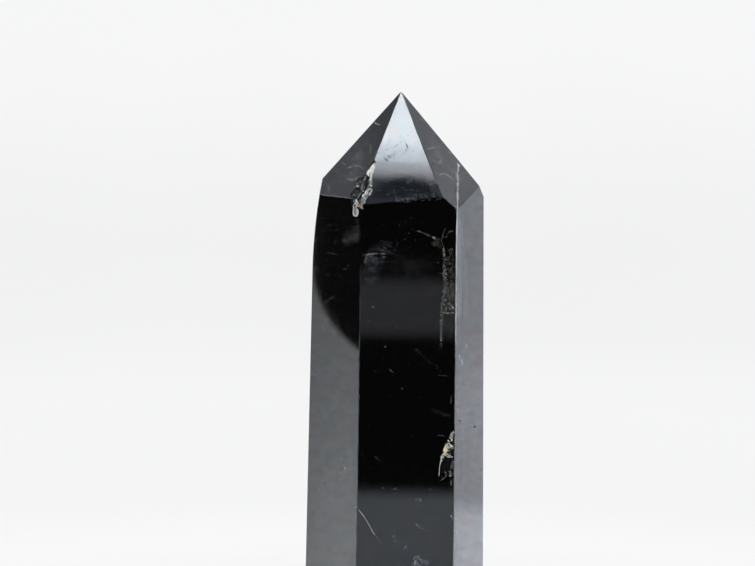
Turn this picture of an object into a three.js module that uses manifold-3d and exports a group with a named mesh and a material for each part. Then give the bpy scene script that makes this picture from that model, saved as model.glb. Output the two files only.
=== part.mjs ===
// Morion quartz point: one black smoky-quartz crystal, sawn flat at its foot and ground and
// polished on six sides up to a tip, in millimetres and degrees.
//
// +Z runs up the crystal's long axis. The origin is on the flat base, straight below the tip,
// and the broad front side faces -Y. Azimuths are measured round the axis from -Y towards +X.

import * as THREE from "three";
import { mergeVertices } from "three/addons/utils/BufferGeometryUtils.js";
import Module from "manifold-3d";

// Driving dimensions.
const HEIGHT = 72.2;
const BASE_CHAMFER = 0.4;

// The tip is worn blunt: its facets would meet this far above the top.
const TIP_WEAR = 0.2;
const PEAK = HEIGHT + TIP_WEAR;

// The six long sides. Reach is how far each one stands from the axis at the base, and lean is
// how much it slopes in towards the axis on its way up.
const SIDES = {
  front: { azimuth: 0, reach: 11.6, lean: 0.55 },
  frontRight: { azimuth: 59, reach: 11.1, lean: 0.35 },
  backRight: { azimuth: 120, reach: 9.4, lean: 0.95 },
  back: { azimuth: 180, reach: 10.4, lean: 0.6 },
  backLeft: { azimuth: -120, reach: 9.85, lean: 0.55 },
  frontLeft: { azimuth: -60, reach: 11.6, lean: 0.4 },
};

// The tip's facets. Rise is the angle of a facet's outward normal above level, close to the
// 38.2 degrees of a quartz crystal's own tip faces. Peak is where the facet's plane crosses
// the axis.
const TIP_FACETS = {
  front: { azimuth: -5.2, rise: 35.95, peak: PEAK },
  frontRight: { azimuth: 39.7, rise: 36.9, peak: PEAK },
  rightCorner: { azimuth: 41.7, rise: 35.7, peak: PEAK + 0.6 },
  right: { azimuth: 95.3, rise: 37.4, peak: PEAK },
  back: { azimuth: 168.4, rise: 37.6, peak: PEAK },
  left: { azimuth: -117.7, rise: 36.8, peak: PEAK },
  frontLeft: { azimuth: -55.6, rise: 37.3, peak: PEAK },
};

// The left corner is ground away towards the tip, in steps that lean in more and more.
const EASED_CORNER_AZIMUTH = -95;
const EASED_CORNER = [
  { height: 48.3, reach: 11.72, lean: 3.2 },
  { height: 54.6, reach: 11.37, lean: 6.3 },
  { height: 58.3, reach: 10.96, lean: 10.7 },
];

// Shell-shaped chips, each hollowed by a few ellipsoidal scoops. A scoop's three radii run
// across the chip, into the crystal and along the chip, before it is turned: swing is its
// turn about the vertical and tip its turn about the level axis that lies across it.
const TIP_EDGE_CHIP = [
  { centre: [-4.91, -7.64, 61.22], radii: [0.42, 0.36, 1.75], swing: -30, tip: 40 },
  { centre: [-6.89, -8.67, 58.55], radii: [0.85, 0.42, 2.3], swing: -18, tip: 41 },
  { centre: [-5.71, -9.42, 58.79], radii: [0.7, 0.5, 2.5], swing: -24, tip: 40.5 },
  { centre: [-6.95, -10.3, 57.28], radii: [0.95, 0.5, 1.5], swing: -30, tip: 40 },
  { centre: [-7.1, -10.85, 56.75], radii: [0.8, 0.7, 1.1], swing: -45, tip: 18 },
  { centre: [-7.4, -10.3, 55.65], radii: [0.53, 0.36, 1.0], swing: -58, tip: 2 },
];
const SIDE_EDGE_CHIP = [
  { centre: [5.7, -11.55, 26.75], radii: [0.36, 0.3, 0.7], swing: 0, tip: 0 },
  { centre: [5.4, -11.7, 25.1], radii: [0.72, 0.5, 1.1], swing: 0, tip: 0 },
  { centre: [5.15, -11.8, 22.9], radii: [1.1, 0.55, 1.6], swing: 12, tip: -4 },
];

// The sawn blank that every face is ground from, and the size of the cutting block.
const BLANK_RADIUS = 17;
const BLANK_HEIGHT = HEIGHT + 6;
const BLOCK = 3 * HEIGHT;
const SCOOP_DETAIL = 2;

const wasm = await Module();
wasm.setup();

const radians = THREE.MathUtils.degToRad;

// A closed solid from a three.js geometry, with the vertices that its faces share merged.
function solidFrom(geometry) {
  const bare = geometry.clone();
  bare.deleteAttribute("normal");
  bare.deleteAttribute("uv");
  const merged = mergeVertices(bare, 1e-5);
  const mesh = new wasm.Mesh({
    numProp: 3,
    vertProperties: new Float32Array(merged.getAttribute("position").array),
    triVerts: new Uint32Array(merged.getIndex().array),
  });
  return new wasm.Manifold(mesh);
}

// A three.js geometry from a closed solid.
function geometryFrom(solid) {
  const mesh = solid.getMesh();
  const geometry = new THREE.BufferGeometry();
  geometry.setAttribute("position", new THREE.BufferAttribute(mesh.vertProperties, mesh.numProp));
  geometry.setIndex(new THREE.BufferAttribute(mesh.triVerts, 1));
  geometry.computeVertexNormals();
  return geometry;
}

// The level direction at an azimuth.
function outward(azimuth) {
  const angle = radians(azimuth);
  return new THREE.Vector3(Math.sin(angle), -Math.cos(angle), 0);
}

// A block with one face on the plane that passes through the point at this reach and height,
// and whose outward normal rises this many degrees above level.
function grindingBlock({ azimuth, rise, reach, height }) {
  const level = outward(azimuth);
  const normal = level.clone().multiplyScalar(Math.cos(radians(rise)));
  normal.z = Math.sin(radians(rise));
  const point = level.multiplyScalar(reach);
  point.z = height;
  const turn = new THREE.Quaternion().setFromUnitVectors(new THREE.Vector3(0, 0, 1), normal);
  const block = new THREE.BoxGeometry(BLOCK, BLOCK, BLOCK);
  block.translate(0, 0, BLOCK / 2);
  block.applyQuaternion(turn);
  block.translate(point.x, point.y, point.z);
  return solidFrom(block);
}

// An ellipsoidal scoop, as wide, deep and long as a chip's part.
function scoop({ centre, radii, swing, tip }) {
  const shape = new THREE.IcosahedronGeometry(1, SCOOP_DETAIL);
  shape.scale(radii[0], radii[1], radii[2]);
  shape.rotateX(radians(-tip));
  shape.rotateZ(radians(swing));
  shape.translate(centre[0], centre[1], centre[2]);
  return solidFrom(shape);
}

// Every plane that bounds the crystal above its sawn base.
function faces() {
  const list = [];
  for (const { azimuth, reach, lean } of Object.values(SIDES)) {
    list.push({ azimuth, rise: lean, reach, height: 0 });
    list.push({ azimuth, rise: -45, reach: reach - BASE_CHAMFER, height: 0 });
  }
  for (const { azimuth, rise, peak } of Object.values(TIP_FACETS)) {
    list.push({ azimuth, rise, reach: 0, height: peak });
  }
  list.push({ azimuth: 0, rise: 90, reach: 0, height: HEIGHT });
  for (const { height, reach, lean } of EASED_CORNER) {
    list.push({ azimuth: EASED_CORNER_AZIMUTH, rise: lean, reach, height });
  }
  return list;
}

function crystalGeometry() {
  const blank = new THREE.CylinderGeometry(BLANK_RADIUS, BLANK_RADIUS, BLANK_HEIGHT, 6);
  blank.rotateX(Math.PI / 2);
  blank.translate(0, 0, BLANK_HEIGHT / 2);
  let crystal = solidFrom(blank);
  for (const face of faces()) {
    crystal = crystal.subtract(grindingBlock(face));
  }
  for (const part of [...TIP_EDGE_CHIP, ...SIDE_EDGE_CHIP]) {
    crystal = crystal.subtract(scoop(part));
  }
  return geometryFrom(crystal);
}

const morion = new THREE.MeshStandardMaterial({ color: 0x17130f, roughness: 0.05, metalness: 0 });

const crystal = new THREE.Mesh(crystalGeometry(), morion);
crystal.name = "crystal";

const part = new THREE.Group();
part.add(crystal);

export default part;
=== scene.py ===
"""A morion quartz point, ground and polished to a six-sided tip, standing on a pale sweep.

Shapes are worked out in millimetres and turned into metres when a mesh is finished. +Z runs up
the crystal's long axis, and its broad front face looks towards -Y. Azimuths are measured round
that axis from -Y towards +X.
"""

from __future__ import annotations

import logging
import math
import random
from collections.abc import Iterable
from dataclasses import dataclass, replace
from enum import Enum
from typing import Any, ClassVar

import bmesh
import bpy
from mathutils import Euler, Matrix, Vector, noise
from mathutils.bvhtree import BVHTree
from mathutils.geometry import intersect_plane_plane

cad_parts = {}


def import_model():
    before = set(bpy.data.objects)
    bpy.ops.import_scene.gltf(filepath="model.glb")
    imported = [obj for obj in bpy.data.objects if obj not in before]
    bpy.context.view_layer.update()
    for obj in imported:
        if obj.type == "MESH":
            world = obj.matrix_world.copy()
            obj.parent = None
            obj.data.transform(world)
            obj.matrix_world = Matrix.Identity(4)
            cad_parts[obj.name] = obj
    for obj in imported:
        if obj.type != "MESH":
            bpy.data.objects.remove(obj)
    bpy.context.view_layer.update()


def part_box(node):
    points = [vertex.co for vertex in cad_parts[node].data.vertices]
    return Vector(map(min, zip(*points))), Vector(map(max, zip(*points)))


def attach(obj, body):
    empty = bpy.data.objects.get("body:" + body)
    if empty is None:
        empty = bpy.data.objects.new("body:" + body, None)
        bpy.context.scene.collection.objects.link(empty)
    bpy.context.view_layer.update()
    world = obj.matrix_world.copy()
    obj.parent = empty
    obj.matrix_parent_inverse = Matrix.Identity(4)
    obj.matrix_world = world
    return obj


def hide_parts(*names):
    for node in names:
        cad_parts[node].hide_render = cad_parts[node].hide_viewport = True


LOG = logging.getLogger("morion")

# A millimetre in metres, and the millimetres in a metre.
MM = 0.001
PER_METRE = 1000.0

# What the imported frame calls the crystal's body, its solid and its material.
BODY = "root"
NODE = "crystal"

# What the meshes carry: a mark's colour and strength, and which faces are fresh breaks.
INK = "ink"
FRESH = "fresh"

# The tip is worn blunt: its facets would meet this far above the top.
TIP_WEAR = 0.2

Colour = tuple[float, float, float]


# ---- shaders


class Value:
    """A number inside a shader. Sums written with it add the Math nodes that work them out."""

    def __init__(self, graph: Graph, socket: bpy.types.NodeSocket) -> None:
        """Wraps one output socket of one graph's nodes."""
        self.graph = graph
        self.socket = socket

    def math(self, operation: str, *terms: Value | float) -> Value:
        """Adds one Math node.

        Args:
            operation: the Math node's operation.
            terms: its inputs, in order.

        Returns:
            What the node gives.
        """
        return self.graph.value("Math", {"operation": operation}, dict(enumerate(terms)))

    def __add__(self, other: Value | float) -> Value:
        """self + other."""
        return self.math("ADD", self, other)

    def __radd__(self, other: float) -> Value:
        """other + self."""
        return self.math("ADD", other, self)

    def __sub__(self, other: Value | float) -> Value:
        """self - other."""
        return self.math("SUBTRACT", self, other)

    def __rsub__(self, other: float) -> Value:
        """other - self."""
        return self.math("SUBTRACT", other, self)

    def __mul__(self, other: Value | float) -> Value:
        """self * other."""
        return self.math("MULTIPLY", self, other)

    def __rmul__(self, other: float) -> Value:
        """other * self."""
        return self.math("MULTIPLY", other, self)

    def __truediv__(self, other: Value | float) -> Value:
        """self / other."""
        return self.math("DIVIDE", self, other)

    def __neg__(self) -> Value:
        """-self."""
        return self.math("MULTIPLY", self, -1.0)

    def __pow__(self, power: float) -> Value:
        """self ** power."""
        return self.math("POWER", self, power)

    def __abs__(self) -> Value:
        """The size of self without its sign."""
        return self.math("ABSOLUTE", self)

    def at_least(self, floor: Value | float) -> Value:
        """The larger of self and floor."""
        return self.math("MAXIMUM", self, floor)

    def at_most(self, ceiling: Value | float) -> Value:
        """The smaller of self and ceiling."""
        return self.math("MINIMUM", self, ceiling)

    def ramp(self, start: float, end: float, low: float = 0.0, high: float = 1.0) -> Value:
        """Eases from one level to another as self goes from start to end.

        Args:
            start: where the easing begins.
            end: where it is done.
            low: the level up to start.
            high: the level from end on.

        Returns:
            The eased level.
        """
        sockets = {"Value": self, "From Min": start, "From Max": end, "To Min": low, "To Max": high}
        return self.graph.value("MapRange", {"interpolation_type": "SMOOTHSTEP"}, sockets, "Result")


class Graph:
    """The node tree of a material or a world."""

    def __init__(self, tree: bpy.types.NodeTree) -> None:
        """Empties the tree, ready for its own nodes."""
        self.tree = tree
        tree.nodes.clear()

    def add(
        self,
        kind: str,
        settings: dict[str, Any] | None = None,
        sockets: dict[str | int, Any] | None = None,
    ) -> bpy.types.Node:
        """Adds one node.

        Args:
            kind: the node's type, without its ShaderNode prefix.
            settings: its properties.
            sockets: a value or a link for each input that isn't left as it is.

        Returns:
            The new node.
        """
        node = self.tree.nodes.new("ShaderNode" + kind)
        for name, setting in (settings or {}).items():
            setattr(node, name, setting)
        for key, value in (sockets or {}).items():
            self._plug(node.inputs[key], value)
        return node

    def value(
        self,
        kind: str,
        settings: dict[str, Any] | None = None,
        sockets: dict[str | int, Any] | None = None,
        output: str | int = 0,
    ) -> Value:
        """Adds one node and takes one of its outputs.

        Args:
            kind: as for add.
            settings: as for add.
            sockets: as for add.
            output: the name or number of the output that is wanted.

        Returns:
            That output, ready for sums.
        """
        return Value(self, self.add(kind, settings, sockets).outputs[output])

    def mix(self, factor: Value | float, first: Any, second: Any, blend: str = "MIX") -> Value:
        """Blends two colours.

        Args:
            factor: 0 for the first colour, 1 for the second.
            first: a colour or a link.
            second: a colour or a link.
            blend: how the second colour is laid on the first.

        Returns:
            The blended colour.
        """
        sockets = {0: factor, 6: first, 7: second}
        return self.value("Mix", {"data_type": "RGBA", "blend_type": blend}, sockets, 2)

    def millimetres(self) -> Value:
        """The place on the piece, in millimetres."""
        place = self.value("TexCoord", output="Object")
        return self.value("VectorMath", {"operation": "SCALE"}, {0: place, "Scale": PER_METRE})

    def noise(self, place: Value, per_mm: float, detail: float = 2.0) -> Value:
        """Adds cloudiness.

        Args:
            place: where it is read, in millimetres.
            per_mm: how many clouds there are to a millimetre.
            detail: how many finer layers it has.

        Returns:
            The noise, about 0.5 on average.
        """
        sockets = {"Vector": place, "Scale": per_mm, "Detail": detail}
        return self.value("TexNoise", sockets=sockets)

    def bump(self, relief: Value, strength: float, depth: float) -> Value:
        """Adds relief that is too fine to model.

        Args:
            relief: the pattern that stands up.
            strength: how strongly it shows, up to 1.
            depth: how deep it is, in millimetres.

        Returns:
            The bent normal.
        """
        return self.value(
            "Bump", sockets={"Height": relief, "Strength": strength, "Distance": depth * MM}
        )

    def ink(self) -> tuple[Value, Value]:
        """The colour and the strength that a mark's points carry."""
        node = self.add("Attribute", {"attribute_name": INK})
        return Value(self, node.outputs["Color"]), Value(self, node.outputs["Alpha"])

    def finish(self, surface: dict[str, Any], inside: bpy.types.Node | None = None) -> None:
        """Ends a material's graph.

        Args:
            surface: the sockets of its Principled BSDF that aren't left as they are.
            inside: the node that fills it, if it is filled.
        """
        sockets = {"Surface": self.add("BsdfPrincipled", sockets=surface).outputs[0]}
        if inside is not None:
            sockets["Volume"] = inside.outputs[0]
        self.add("OutputMaterial", sockets=sockets)

    def _plug(self, socket: bpy.types.NodeSocket, value: Any) -> None:
        """Links a socket or sets its own value.

        Args:
            socket: the input.
            value: a link, or a value for it.
        """
        if isinstance(value, Value):
            self.tree.links.new(value.socket, socket)
        elif isinstance(value, bpy.types.NodeSocket):
            self.tree.links.new(value, socket)
        elif isinstance(value, tuple) and socket.type == "RGBA":
            socket.default_value = (*value[:3], 1.0)
        else:
            socket.default_value = value


def new_material(name: str) -> tuple[bpy.types.Material, Graph]:
    """Makes an empty node material.

    Args:
        name: the material's name.

    Returns:
        The material and its graph.
    """
    material = bpy.data.materials.new(name)
    material.use_nodes = True
    return material, Graph(material.node_tree)


@dataclass(frozen=True)
class MorionGlass:
    """Polished morion: clear to look into for a fraction of a millimetre, and black beyond.

    Attributes:
        tint: the colour that its surface lets through.
        ior: quartz's index of refraction.
        polish: how rough its polish is.
        wear: how much rougher the worn patches are.
        hackle: how rough its fresh breaks are.
        lapping: how strongly the waves that lapping left bend its reflections.
        swallow: the colour that its inside lets through.
        swallow_per_mm: how densely it takes up the rest.
    """

    tint: Colour = (0.88, 0.87, 0.86)
    ior: float = 1.544
    polish: float = 0.022
    wear: float = 0.02
    hackle: float = 0.14
    lapping: float = 0.0025
    swallow: Colour = (0.62, 0.53, 0.28)
    swallow_per_mm: float = 1.6

    def material(self) -> bpy.types.Material:
        """Builds the glass: faint waves from lapping, patches of weaker polish, dull breaks.

        Returns:
            The material.
        """
        material, graph = new_material("morion")
        place = graph.millimetres()
        patches = graph.noise(place, 0.9, 3.0).ramp(0.5, 0.75)
        waves = graph.noise(place, 0.16, 1.0)
        fresh = Value(graph, graph.add("Attribute", {"attribute_name": FRESH}).outputs["Fac"])
        dull = self.hackle * (0.6 + 0.8 * graph.noise(place, 3.0, 3.0))
        surface = {
            "Base Color": self.tint,
            "IOR": self.ior,
            "Transmission Weight": 1.0,
            "Roughness": self.polish + self.wear * patches + fresh * dull,
            "Normal": graph.bump(waves, self.lapping, 0.2),
        }
        density = self.swallow_per_mm * PER_METRE
        inside = graph.add("VolumeAbsorption", sockets={"Color": self.swallow, "Density": density})
        graph.finish(surface, inside)
        return material


@dataclass(frozen=True)
class HealedCrack:
    """A crack inside the quartz that healed with specks in it, so that it shows as a pale veil.

    Attributes:
        roughness: how matt it is.
        shade: the tint of the quartz over it.
    """

    roughness: float = 0.55
    shade: Colour = (0.93, 0.93, 0.88)

    def material(self) -> bpy.types.Material:
        """Builds the veil's finish: it is broken up into specks, and fades where its ink does.

        Returns:
            The material.
        """
        material, graph = new_material("healed_crack")
        place = graph.millimetres()
        colour, strength = graph.ink()
        specks = graph.noise(place, 4.0, 3.0).ramp(0.38, 0.6, 0.4, 1.0)
        clouds = graph.noise(place, 1.4, 2.0).ramp(0.36, 0.58, 0.35, 1.0)
        surface = {
            "Base Color": graph.mix(specks * 0.5, colour, self.shade, "MULTIPLY"),
            "Roughness": self.roughness,
            "Specular IOR Level": 0.0,
            "Alpha": strength * specks * clouds,
        }
        graph.finish(surface)
        return material


@dataclass(frozen=True)
class ScratchAndEdgeGlow:
    """Fine scratches and rubbed spots in the polish, and the painted glow beside the front right edge.

    Attributes:
        roughness: how matt they are.
        glint: the tint of the light that they catch.
    """

    roughness: float = 0.5
    glint: Colour = (0.85, 0.9, 1.0)

    def material(self) -> bpy.types.Material:
        """Builds the scratch's finish, which comes and goes along it.

        Returns:
            The material.
        """
        material, graph = new_material("scratch_and_edge_glow")
        colour, strength = graph.ink()
        skips = graph.noise(graph.millimetres(), 2.6, 3.0).ramp(0.34, 0.56, 0.1, 1.0)
        surface = {
            "Base Color": graph.mix(skips, colour, self.glint, "MULTIPLY"),
            "Roughness": self.roughness,
            "Specular IOR Level": 0.0,
            "Alpha": strength * skips,
        }
        graph.finish(surface)
        return material


@dataclass(frozen=True)
class CrushedQuartzAndPaintedLight:
    """Quartz broken to white and smoky grains, with glassy and powdery sides. It also carries the
    chips' painted reflections and painted shade.

    Attributes:
        dullest: how rough the powdery sides are.
        shiniest: how rough the glassy sides are.
        dust: the tint of the dust on them.
    """

    dullest: float = 0.75
    shiniest: float = 0.25
    dust: Colour = (0.78, 0.78, 0.8)

    def material(self) -> bpy.types.Material:
        """Builds the finish of broken grains and of the painted light and shade in the chips.

        Returns:
            The material.
        """
        material, graph = new_material("crushed_quartz_and_painted_light")
        place = graph.millimetres()
        colour, _strength = graph.ink()
        powder = graph.noise(place, 7.0, 3.0)
        patches = graph.noise(place, 2.0, 2.0)
        surface = {
            "Base Color": graph.mix(powder.ramp(0.4, 0.62), colour, self.dust, "MULTIPLY"),
            "Roughness": patches.ramp(0.4, 0.6, self.shiniest, self.dullest),
            "Specular IOR Level": 0.04,
            "Normal": graph.bump(powder, 0.5, 0.03),
        }
        graph.finish(surface)
        return material


@dataclass(frozen=True)
class IronStain:
    """Rusty clay caught among broken grains.

    Attributes:
        deep: its colour in its hollows.
    """

    deep: Colour = (0.16, 0.06, 0.02)

    def material(self) -> bpy.types.Material:
        """Builds the stain, which runs darker in its hollows.

        Returns:
            The material.
        """
        material, graph = new_material("iron_stain")
        colour, _strength = graph.ink()
        crumbs = graph.noise(graph.millimetres(), 6.0, 4.0)
        surface = {
            "Base Color": graph.mix(crumbs.ramp(0.62, 0.38) * 0.8, colour, self.deep),
            "Roughness": crumbs.ramp(0.3, 0.7, 0.6, 0.9),
            "Specular IOR Level": 0.2,
            "Normal": graph.bump(crumbs, 0.6, 0.04),
        }
        graph.finish(surface)
        return material


@dataclass(frozen=True)
class SweepWhiteWithPaintedLight:
    """The matt white of the sweep that the crystal stands on, with painted light and shade in its
    colour.

    Attributes:
        near: its colour on the floor round the crystal, lighter as a painted pool of light.
        floor: its colour further off.
        low: its colour where the floor has begun to curve up, darker as painted shade.
        high: its colour higher up, lighter as painted light.
    """

    near: Colour = (0.918, 0.918, 0.918)
    floor: Colour = (0.87, 0.872, 0.875)
    low: Colour = (0.846, 0.848, 0.853)
    high: Colour = (0.915, 0.917, 0.926)

    def material(self) -> bpy.types.Material:
        """Builds the paint, with painted light and shade and the faintest cloudiness.

        Returns:
            The material.
        """
        material, graph = new_material("sweep_white_with_painted_light")
        place = graph.value("TexCoord", output="Object")
        parts = graph.add("SeparateXYZ", sockets={0: place})
        height = Value(graph, parts.outputs["Z"])
        away = graph.value("VectorMath", {"operation": "LENGTH"}, {0: place}, "Value")
        cloud = graph.value("TexNoise", sockets={"Vector": place, "Scale": 9.0, "Detail": 2.0})
        # painted light and shade: lighter round the crystal and high on the wall, darker further off
        # and where the floor curves up
        colour = graph.mix(away.ramp(0.075, 0.15), self.near, self.floor)
        colour = graph.mix(height.ramp(0.0, 0.03), colour, self.low)
        lighter = height.ramp(0.05, 0.19) * 0.9 + cloud.ramp(0.3, 0.7) * 0.1
        colour = graph.mix(lighter, colour, self.high)
        graph.finish({"Base Color": colour, "Roughness": 0.9, "Specular IOR Level": 0.0})
        return material


# ---- faces


@dataclass(frozen=True)
class Facet:
    """One ground plane, and a way to place things on it.

    Attributes:
        azimuth: where it looks, in degrees.
        rise: how far its outward normal is above level, in degrees.
        reach: how far it stands from the axis at its height.
        height: where that is measured.
    """

    azimuth: float
    rise: float
    reach: float
    height: float = 0.0

    @property
    def level(self) -> Vector:
        """The level direction that it looks in."""
        angle = math.radians(self.azimuth)
        return Vector((math.sin(angle), -math.cos(angle), 0.0))

    @property
    def normal(self) -> Vector:
        """Its outward normal."""
        tilt = math.radians(self.rise)
        return self.level * math.cos(tilt) + Vector((0.0, 0.0, math.sin(tilt)))

    @property
    def across(self) -> Vector:
        """The level direction along it, to the right as seen from outside."""
        angle = math.radians(self.azimuth)
        return Vector((math.cos(angle), math.sin(angle), 0.0))

    @property
    def up(self) -> Vector:
        """The direction up along it."""
        return self.normal.cross(self.across)

    @property
    def origin(self) -> Vector:
        """The point on it from which places are measured."""
        return self.level * self.reach + Vector((0.0, 0.0, self.height))


class Face(Enum):
    """The crystal's ground faces: six long sides, and the facets of the tip."""

    FRONT = "front"
    FRONT_RIGHT = "front_right"
    BACK_RIGHT = "back_right"
    BACK = "back"
    BACK_LEFT = "back_left"
    FRONT_LEFT = "front_left"
    TIP_FRONT = "tip_front"
    TIP_FRONT_RIGHT = "tip_front_right"
    TIP_RIGHT_CORNER = "tip_right_corner"
    TIP_RIGHT = "tip_right"
    TIP_BACK = "tip_back"
    TIP_LEFT = "tip_left"
    TIP_FRONT_LEFT = "tip_front_left"


def ground_faces(height: float) -> dict[Face, Facet]:
    """Every ground face of a point of this height.

    Args:
        height: from the sawn foot to the tip, in millimetres.

    Returns:
        The facet of each face.
    """
    peak = height + TIP_WEAR
    return {
        Face.FRONT: Facet(0.0, 0.55, 11.6),
        Face.FRONT_RIGHT: Facet(59.0, 0.35, 11.1),
        Face.BACK_RIGHT: Facet(120.0, 0.95, 9.4),
        Face.BACK: Facet(180.0, 0.6, 10.4),
        Face.BACK_LEFT: Facet(-120.0, 0.55, 9.85),
        Face.FRONT_LEFT: Facet(-60.0, 0.4, 11.6),
        Face.TIP_FRONT: Facet(-5.2, 35.95, 0.0, peak),
        Face.TIP_FRONT_RIGHT: Facet(39.7, 36.9, 0.0, peak),
        Face.TIP_RIGHT_CORNER: Facet(41.7, 35.7, 0.0, peak + 0.6),
        Face.TIP_RIGHT: Facet(95.3, 37.4, 0.0, peak),
        Face.TIP_BACK: Facet(168.4, 37.6, 0.0, peak),
        Face.TIP_LEFT: Facet(-117.7, 36.8, 0.0, peak),
        Face.TIP_FRONT_LEFT: Facet(-55.6, 37.3, 0.0, peak),
    }


class Arris(Enum):
    """Edges that marks are measured along: the faces they part, and the height of their zero."""

    TIP_LEFT = (Face.TIP_FRONT_LEFT, Face.TIP_FRONT, 57.2)
    TIP_CREASE = (Face.TIP_FRONT_RIGHT, Face.TIP_RIGHT_CORNER, 56.1)
    FRONT_LEFT = (Face.FRONT_LEFT, Face.FRONT, 0.0)
    FRONT_RIGHT = (Face.FRONT, Face.FRONT_RIGHT, 0.0)


Spot = Face | Arris


@dataclass(frozen=True)
class Seat:
    """A frame held against the crystal, from which places on its surface are measured.

    Attributes:
        origin: its zero.
        right: to the right, as seen from outside.
        up: towards the tip.
        out: away from the crystal.
    """

    origin: Vector
    right: Vector
    up: Vector
    out: Vector

    @classmethod
    def on_face(cls, facet: Facet) -> Seat:
        """The frame of a face."""
        return cls(facet.origin, facet.across, facet.up, facet.normal)

    @classmethod
    def on_edge(cls, first: Facet, second: Facet, height: float) -> Seat:
        """The frame of an edge.

        Args:
            first: the face to its left.
            second: the face to its right.
            height: how high its zero is.

        Returns:
            The frame, which faces half way between the two faces.
        """
        point, along = intersect_plane_plane(
            first.origin, first.normal, second.origin, second.normal
        )
        up = along.normalized() if along.z > 0.0 else -along.normalized()
        out = (first.normal + second.normal).normalized()
        origin = point + up * ((height - point.z) / up.z)
        return cls(origin, up.cross(out), up, out)


class Skin:
    """The crystal's finished surface, and the places on it.

    Attributes:
        clear: how far outside a face or edge the search for the surface under it starts.
    """

    clear = 4.0

    def __init__(self, shape: bmesh.types.BMesh, faces: dict[Face, Facet]) -> None:
        """Sets a frame on every face and edge.

        Args:
            shape: the surface, in millimetres.
            faces: its ground faces.
        """
        self.tree = BVHTree.FromBMesh(shape)
        self.seats: dict[Spot, Seat] = {
            face: Seat.on_face(facet) for face, facet in faces.items()
        }
        for arris in Arris:
            first, second, height = arris.value
            self.seats[arris] = Seat.on_edge(faces[first], faces[second], height)

    def place(
        self, spot: Spot, across: float, up: float, sunk: float = 0.0, dive: float = 0.0
    ) -> Vector:
        """Finds a place on the surface.

        Args:
            spot: the face or edge that it is measured from.
            across: to the right.
            up: towards the tip.
            sunk: how far under the surface it is.
            dive: how much deeper it is, straight in from the face or edge.

        Returns:
            The point, in millimetres.
        """
        seat = self.seats[spot]
        start = seat.origin + seat.right * across + seat.up * up + seat.out * self.clear
        hit, normal, _face, _distance = self.tree.ray_cast(start, -seat.out)
        if hit is None:
            hit, normal, _face, _distance = self.tree.find_nearest(start)
        return hit - normal * sunk - seat.out * dive


# ---- pieces


def new_object(name: str, shape: bmesh.types.BMesh) -> bpy.types.Object:
    """Puts a shape into the scene as it is.

    Args:
        name: what the object is called.
        shape: its faces, which are freed.

    Returns:
        The object, linked to the scene.
    """
    mesh = bpy.data.meshes.new(name)
    shape.to_mesh(mesh)
    shape.free()
    thing = bpy.data.objects.new(name, mesh)
    bpy.context.scene.collection.objects.link(thing)
    return thing


def finish_piece(
    name: str, shape: bmesh.types.BMesh, material: bpy.types.Material
) -> bpy.types.Object:
    """Turns a shape in millimetres into a piece in metres, at the origin and unturned.

    Args:
        name: the piece's name.
        shape: its faces, which are freed.
        material: what it is made of.

    Returns:
        The piece, linked to the scene.
    """
    bmesh.ops.scale(shape, vec=Vector((MM, MM, MM)), verts=shape.verts)
    piece = new_object(name, shape)
    piece.data.materials.append(material)
    return piece


@dataclass(frozen=True)
class Scoop:
    """One hollow of a shell-shaped chip: a rippled ellipsoid.

    Attributes:
        centre: its middle.
        radii: its half sizes across the chip, into the crystal and along the chip.
        swing: its turn about the vertical, in degrees.
        tip: its turn about the level axis across it, in degrees.
        ripple: how high its ripples stand, as a part of its size.
        rings: how close together its rings are.
        slant: how far they lean.
        lumps: how close together its lumps are.
        steps: how close together its small steps are.
        shares: how high its rings and its small steps are, beside its lumps.
    """

    centre: tuple[float, float, float]
    radii: tuple[float, float, float]
    swing: float
    tip: float

    ripple: ClassVar[float] = 0.09
    rings: ClassVar[float] = 17.0
    slant: ClassVar[float] = 0.25
    lumps: ClassVar[float] = 1.7
    steps: ClassVar[float] = 4.6
    shares: ClassVar[tuple[float, float]] = (0.3, 0.7)

    def shape(self, seed: float) -> bmesh.types.BMesh:
        """Builds the hollow as a solid to cut with.

        Args:
            seed: moves its unevenness, so that no two are alike.

        Returns:
            A closed shape in millimetres.
        """
        shape = bmesh.new()
        bmesh.ops.create_icosphere(shape, subdivisions=4, radius=1.0)
        ring_share, step_share = self.shares
        for vertex in shape.verts:
            ring = math.sin(self.rings * (vertex.co.z + self.slant * vertex.co.x))
            lump = noise.noise(vertex.co * self.lumps + Vector((seed, seed, 0.0)))
            step = noise.noise(vertex.co * self.steps + Vector((0.0, seed, seed)))
            vertex.co *= 1.0 + self.ripple * (ring_share * ring + lump + step_share * step)
        bmesh.ops.scale(shape, vec=Vector(self.radii), verts=shape.verts)
        turn = Euler((math.radians(-self.tip), 0.0, math.radians(self.swing)))
        placed = Matrix.Translation(Vector(self.centre)) @ turn.to_matrix().to_4x4()
        bmesh.ops.transform(shape, matrix=placed, verts=shape.verts)
        return shape


TIP_EDGE_CHIP = (
    Scoop((-4.91, -7.64, 61.22), (0.42, 0.36, 1.75), -30.0, 40.0),
    Scoop((-6.89, -8.67, 58.55), (0.85, 0.42, 2.3), -18.0, 41.0),
    Scoop((-5.71, -9.42, 58.79), (0.7, 0.5, 2.5), -24.0, 40.5),
    Scoop((-6.95, -10.3, 57.28), (0.95, 0.5, 1.5), -30.0, 40.0),
    Scoop((-7.1, -10.85, 56.75), (0.8, 0.7, 1.1), -45.0, 18.0),
    Scoop((-7.4, -10.3, 55.65), (0.53, 0.36, 1.0), -58.0, 2.0),
)
SIDE_EDGE_CHIP = (
    Scoop((5.7, -11.55, 26.75), (0.36, 0.3, 0.7), 0.0, 0.0),
    Scoop((5.4, -11.7, 25.1), (0.72, 0.5, 1.1), 0.0, 0.0),
    Scoop((5.15, -11.8, 22.9), (1.1, 0.55, 1.6), 12.0, -4.0),
)


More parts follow.
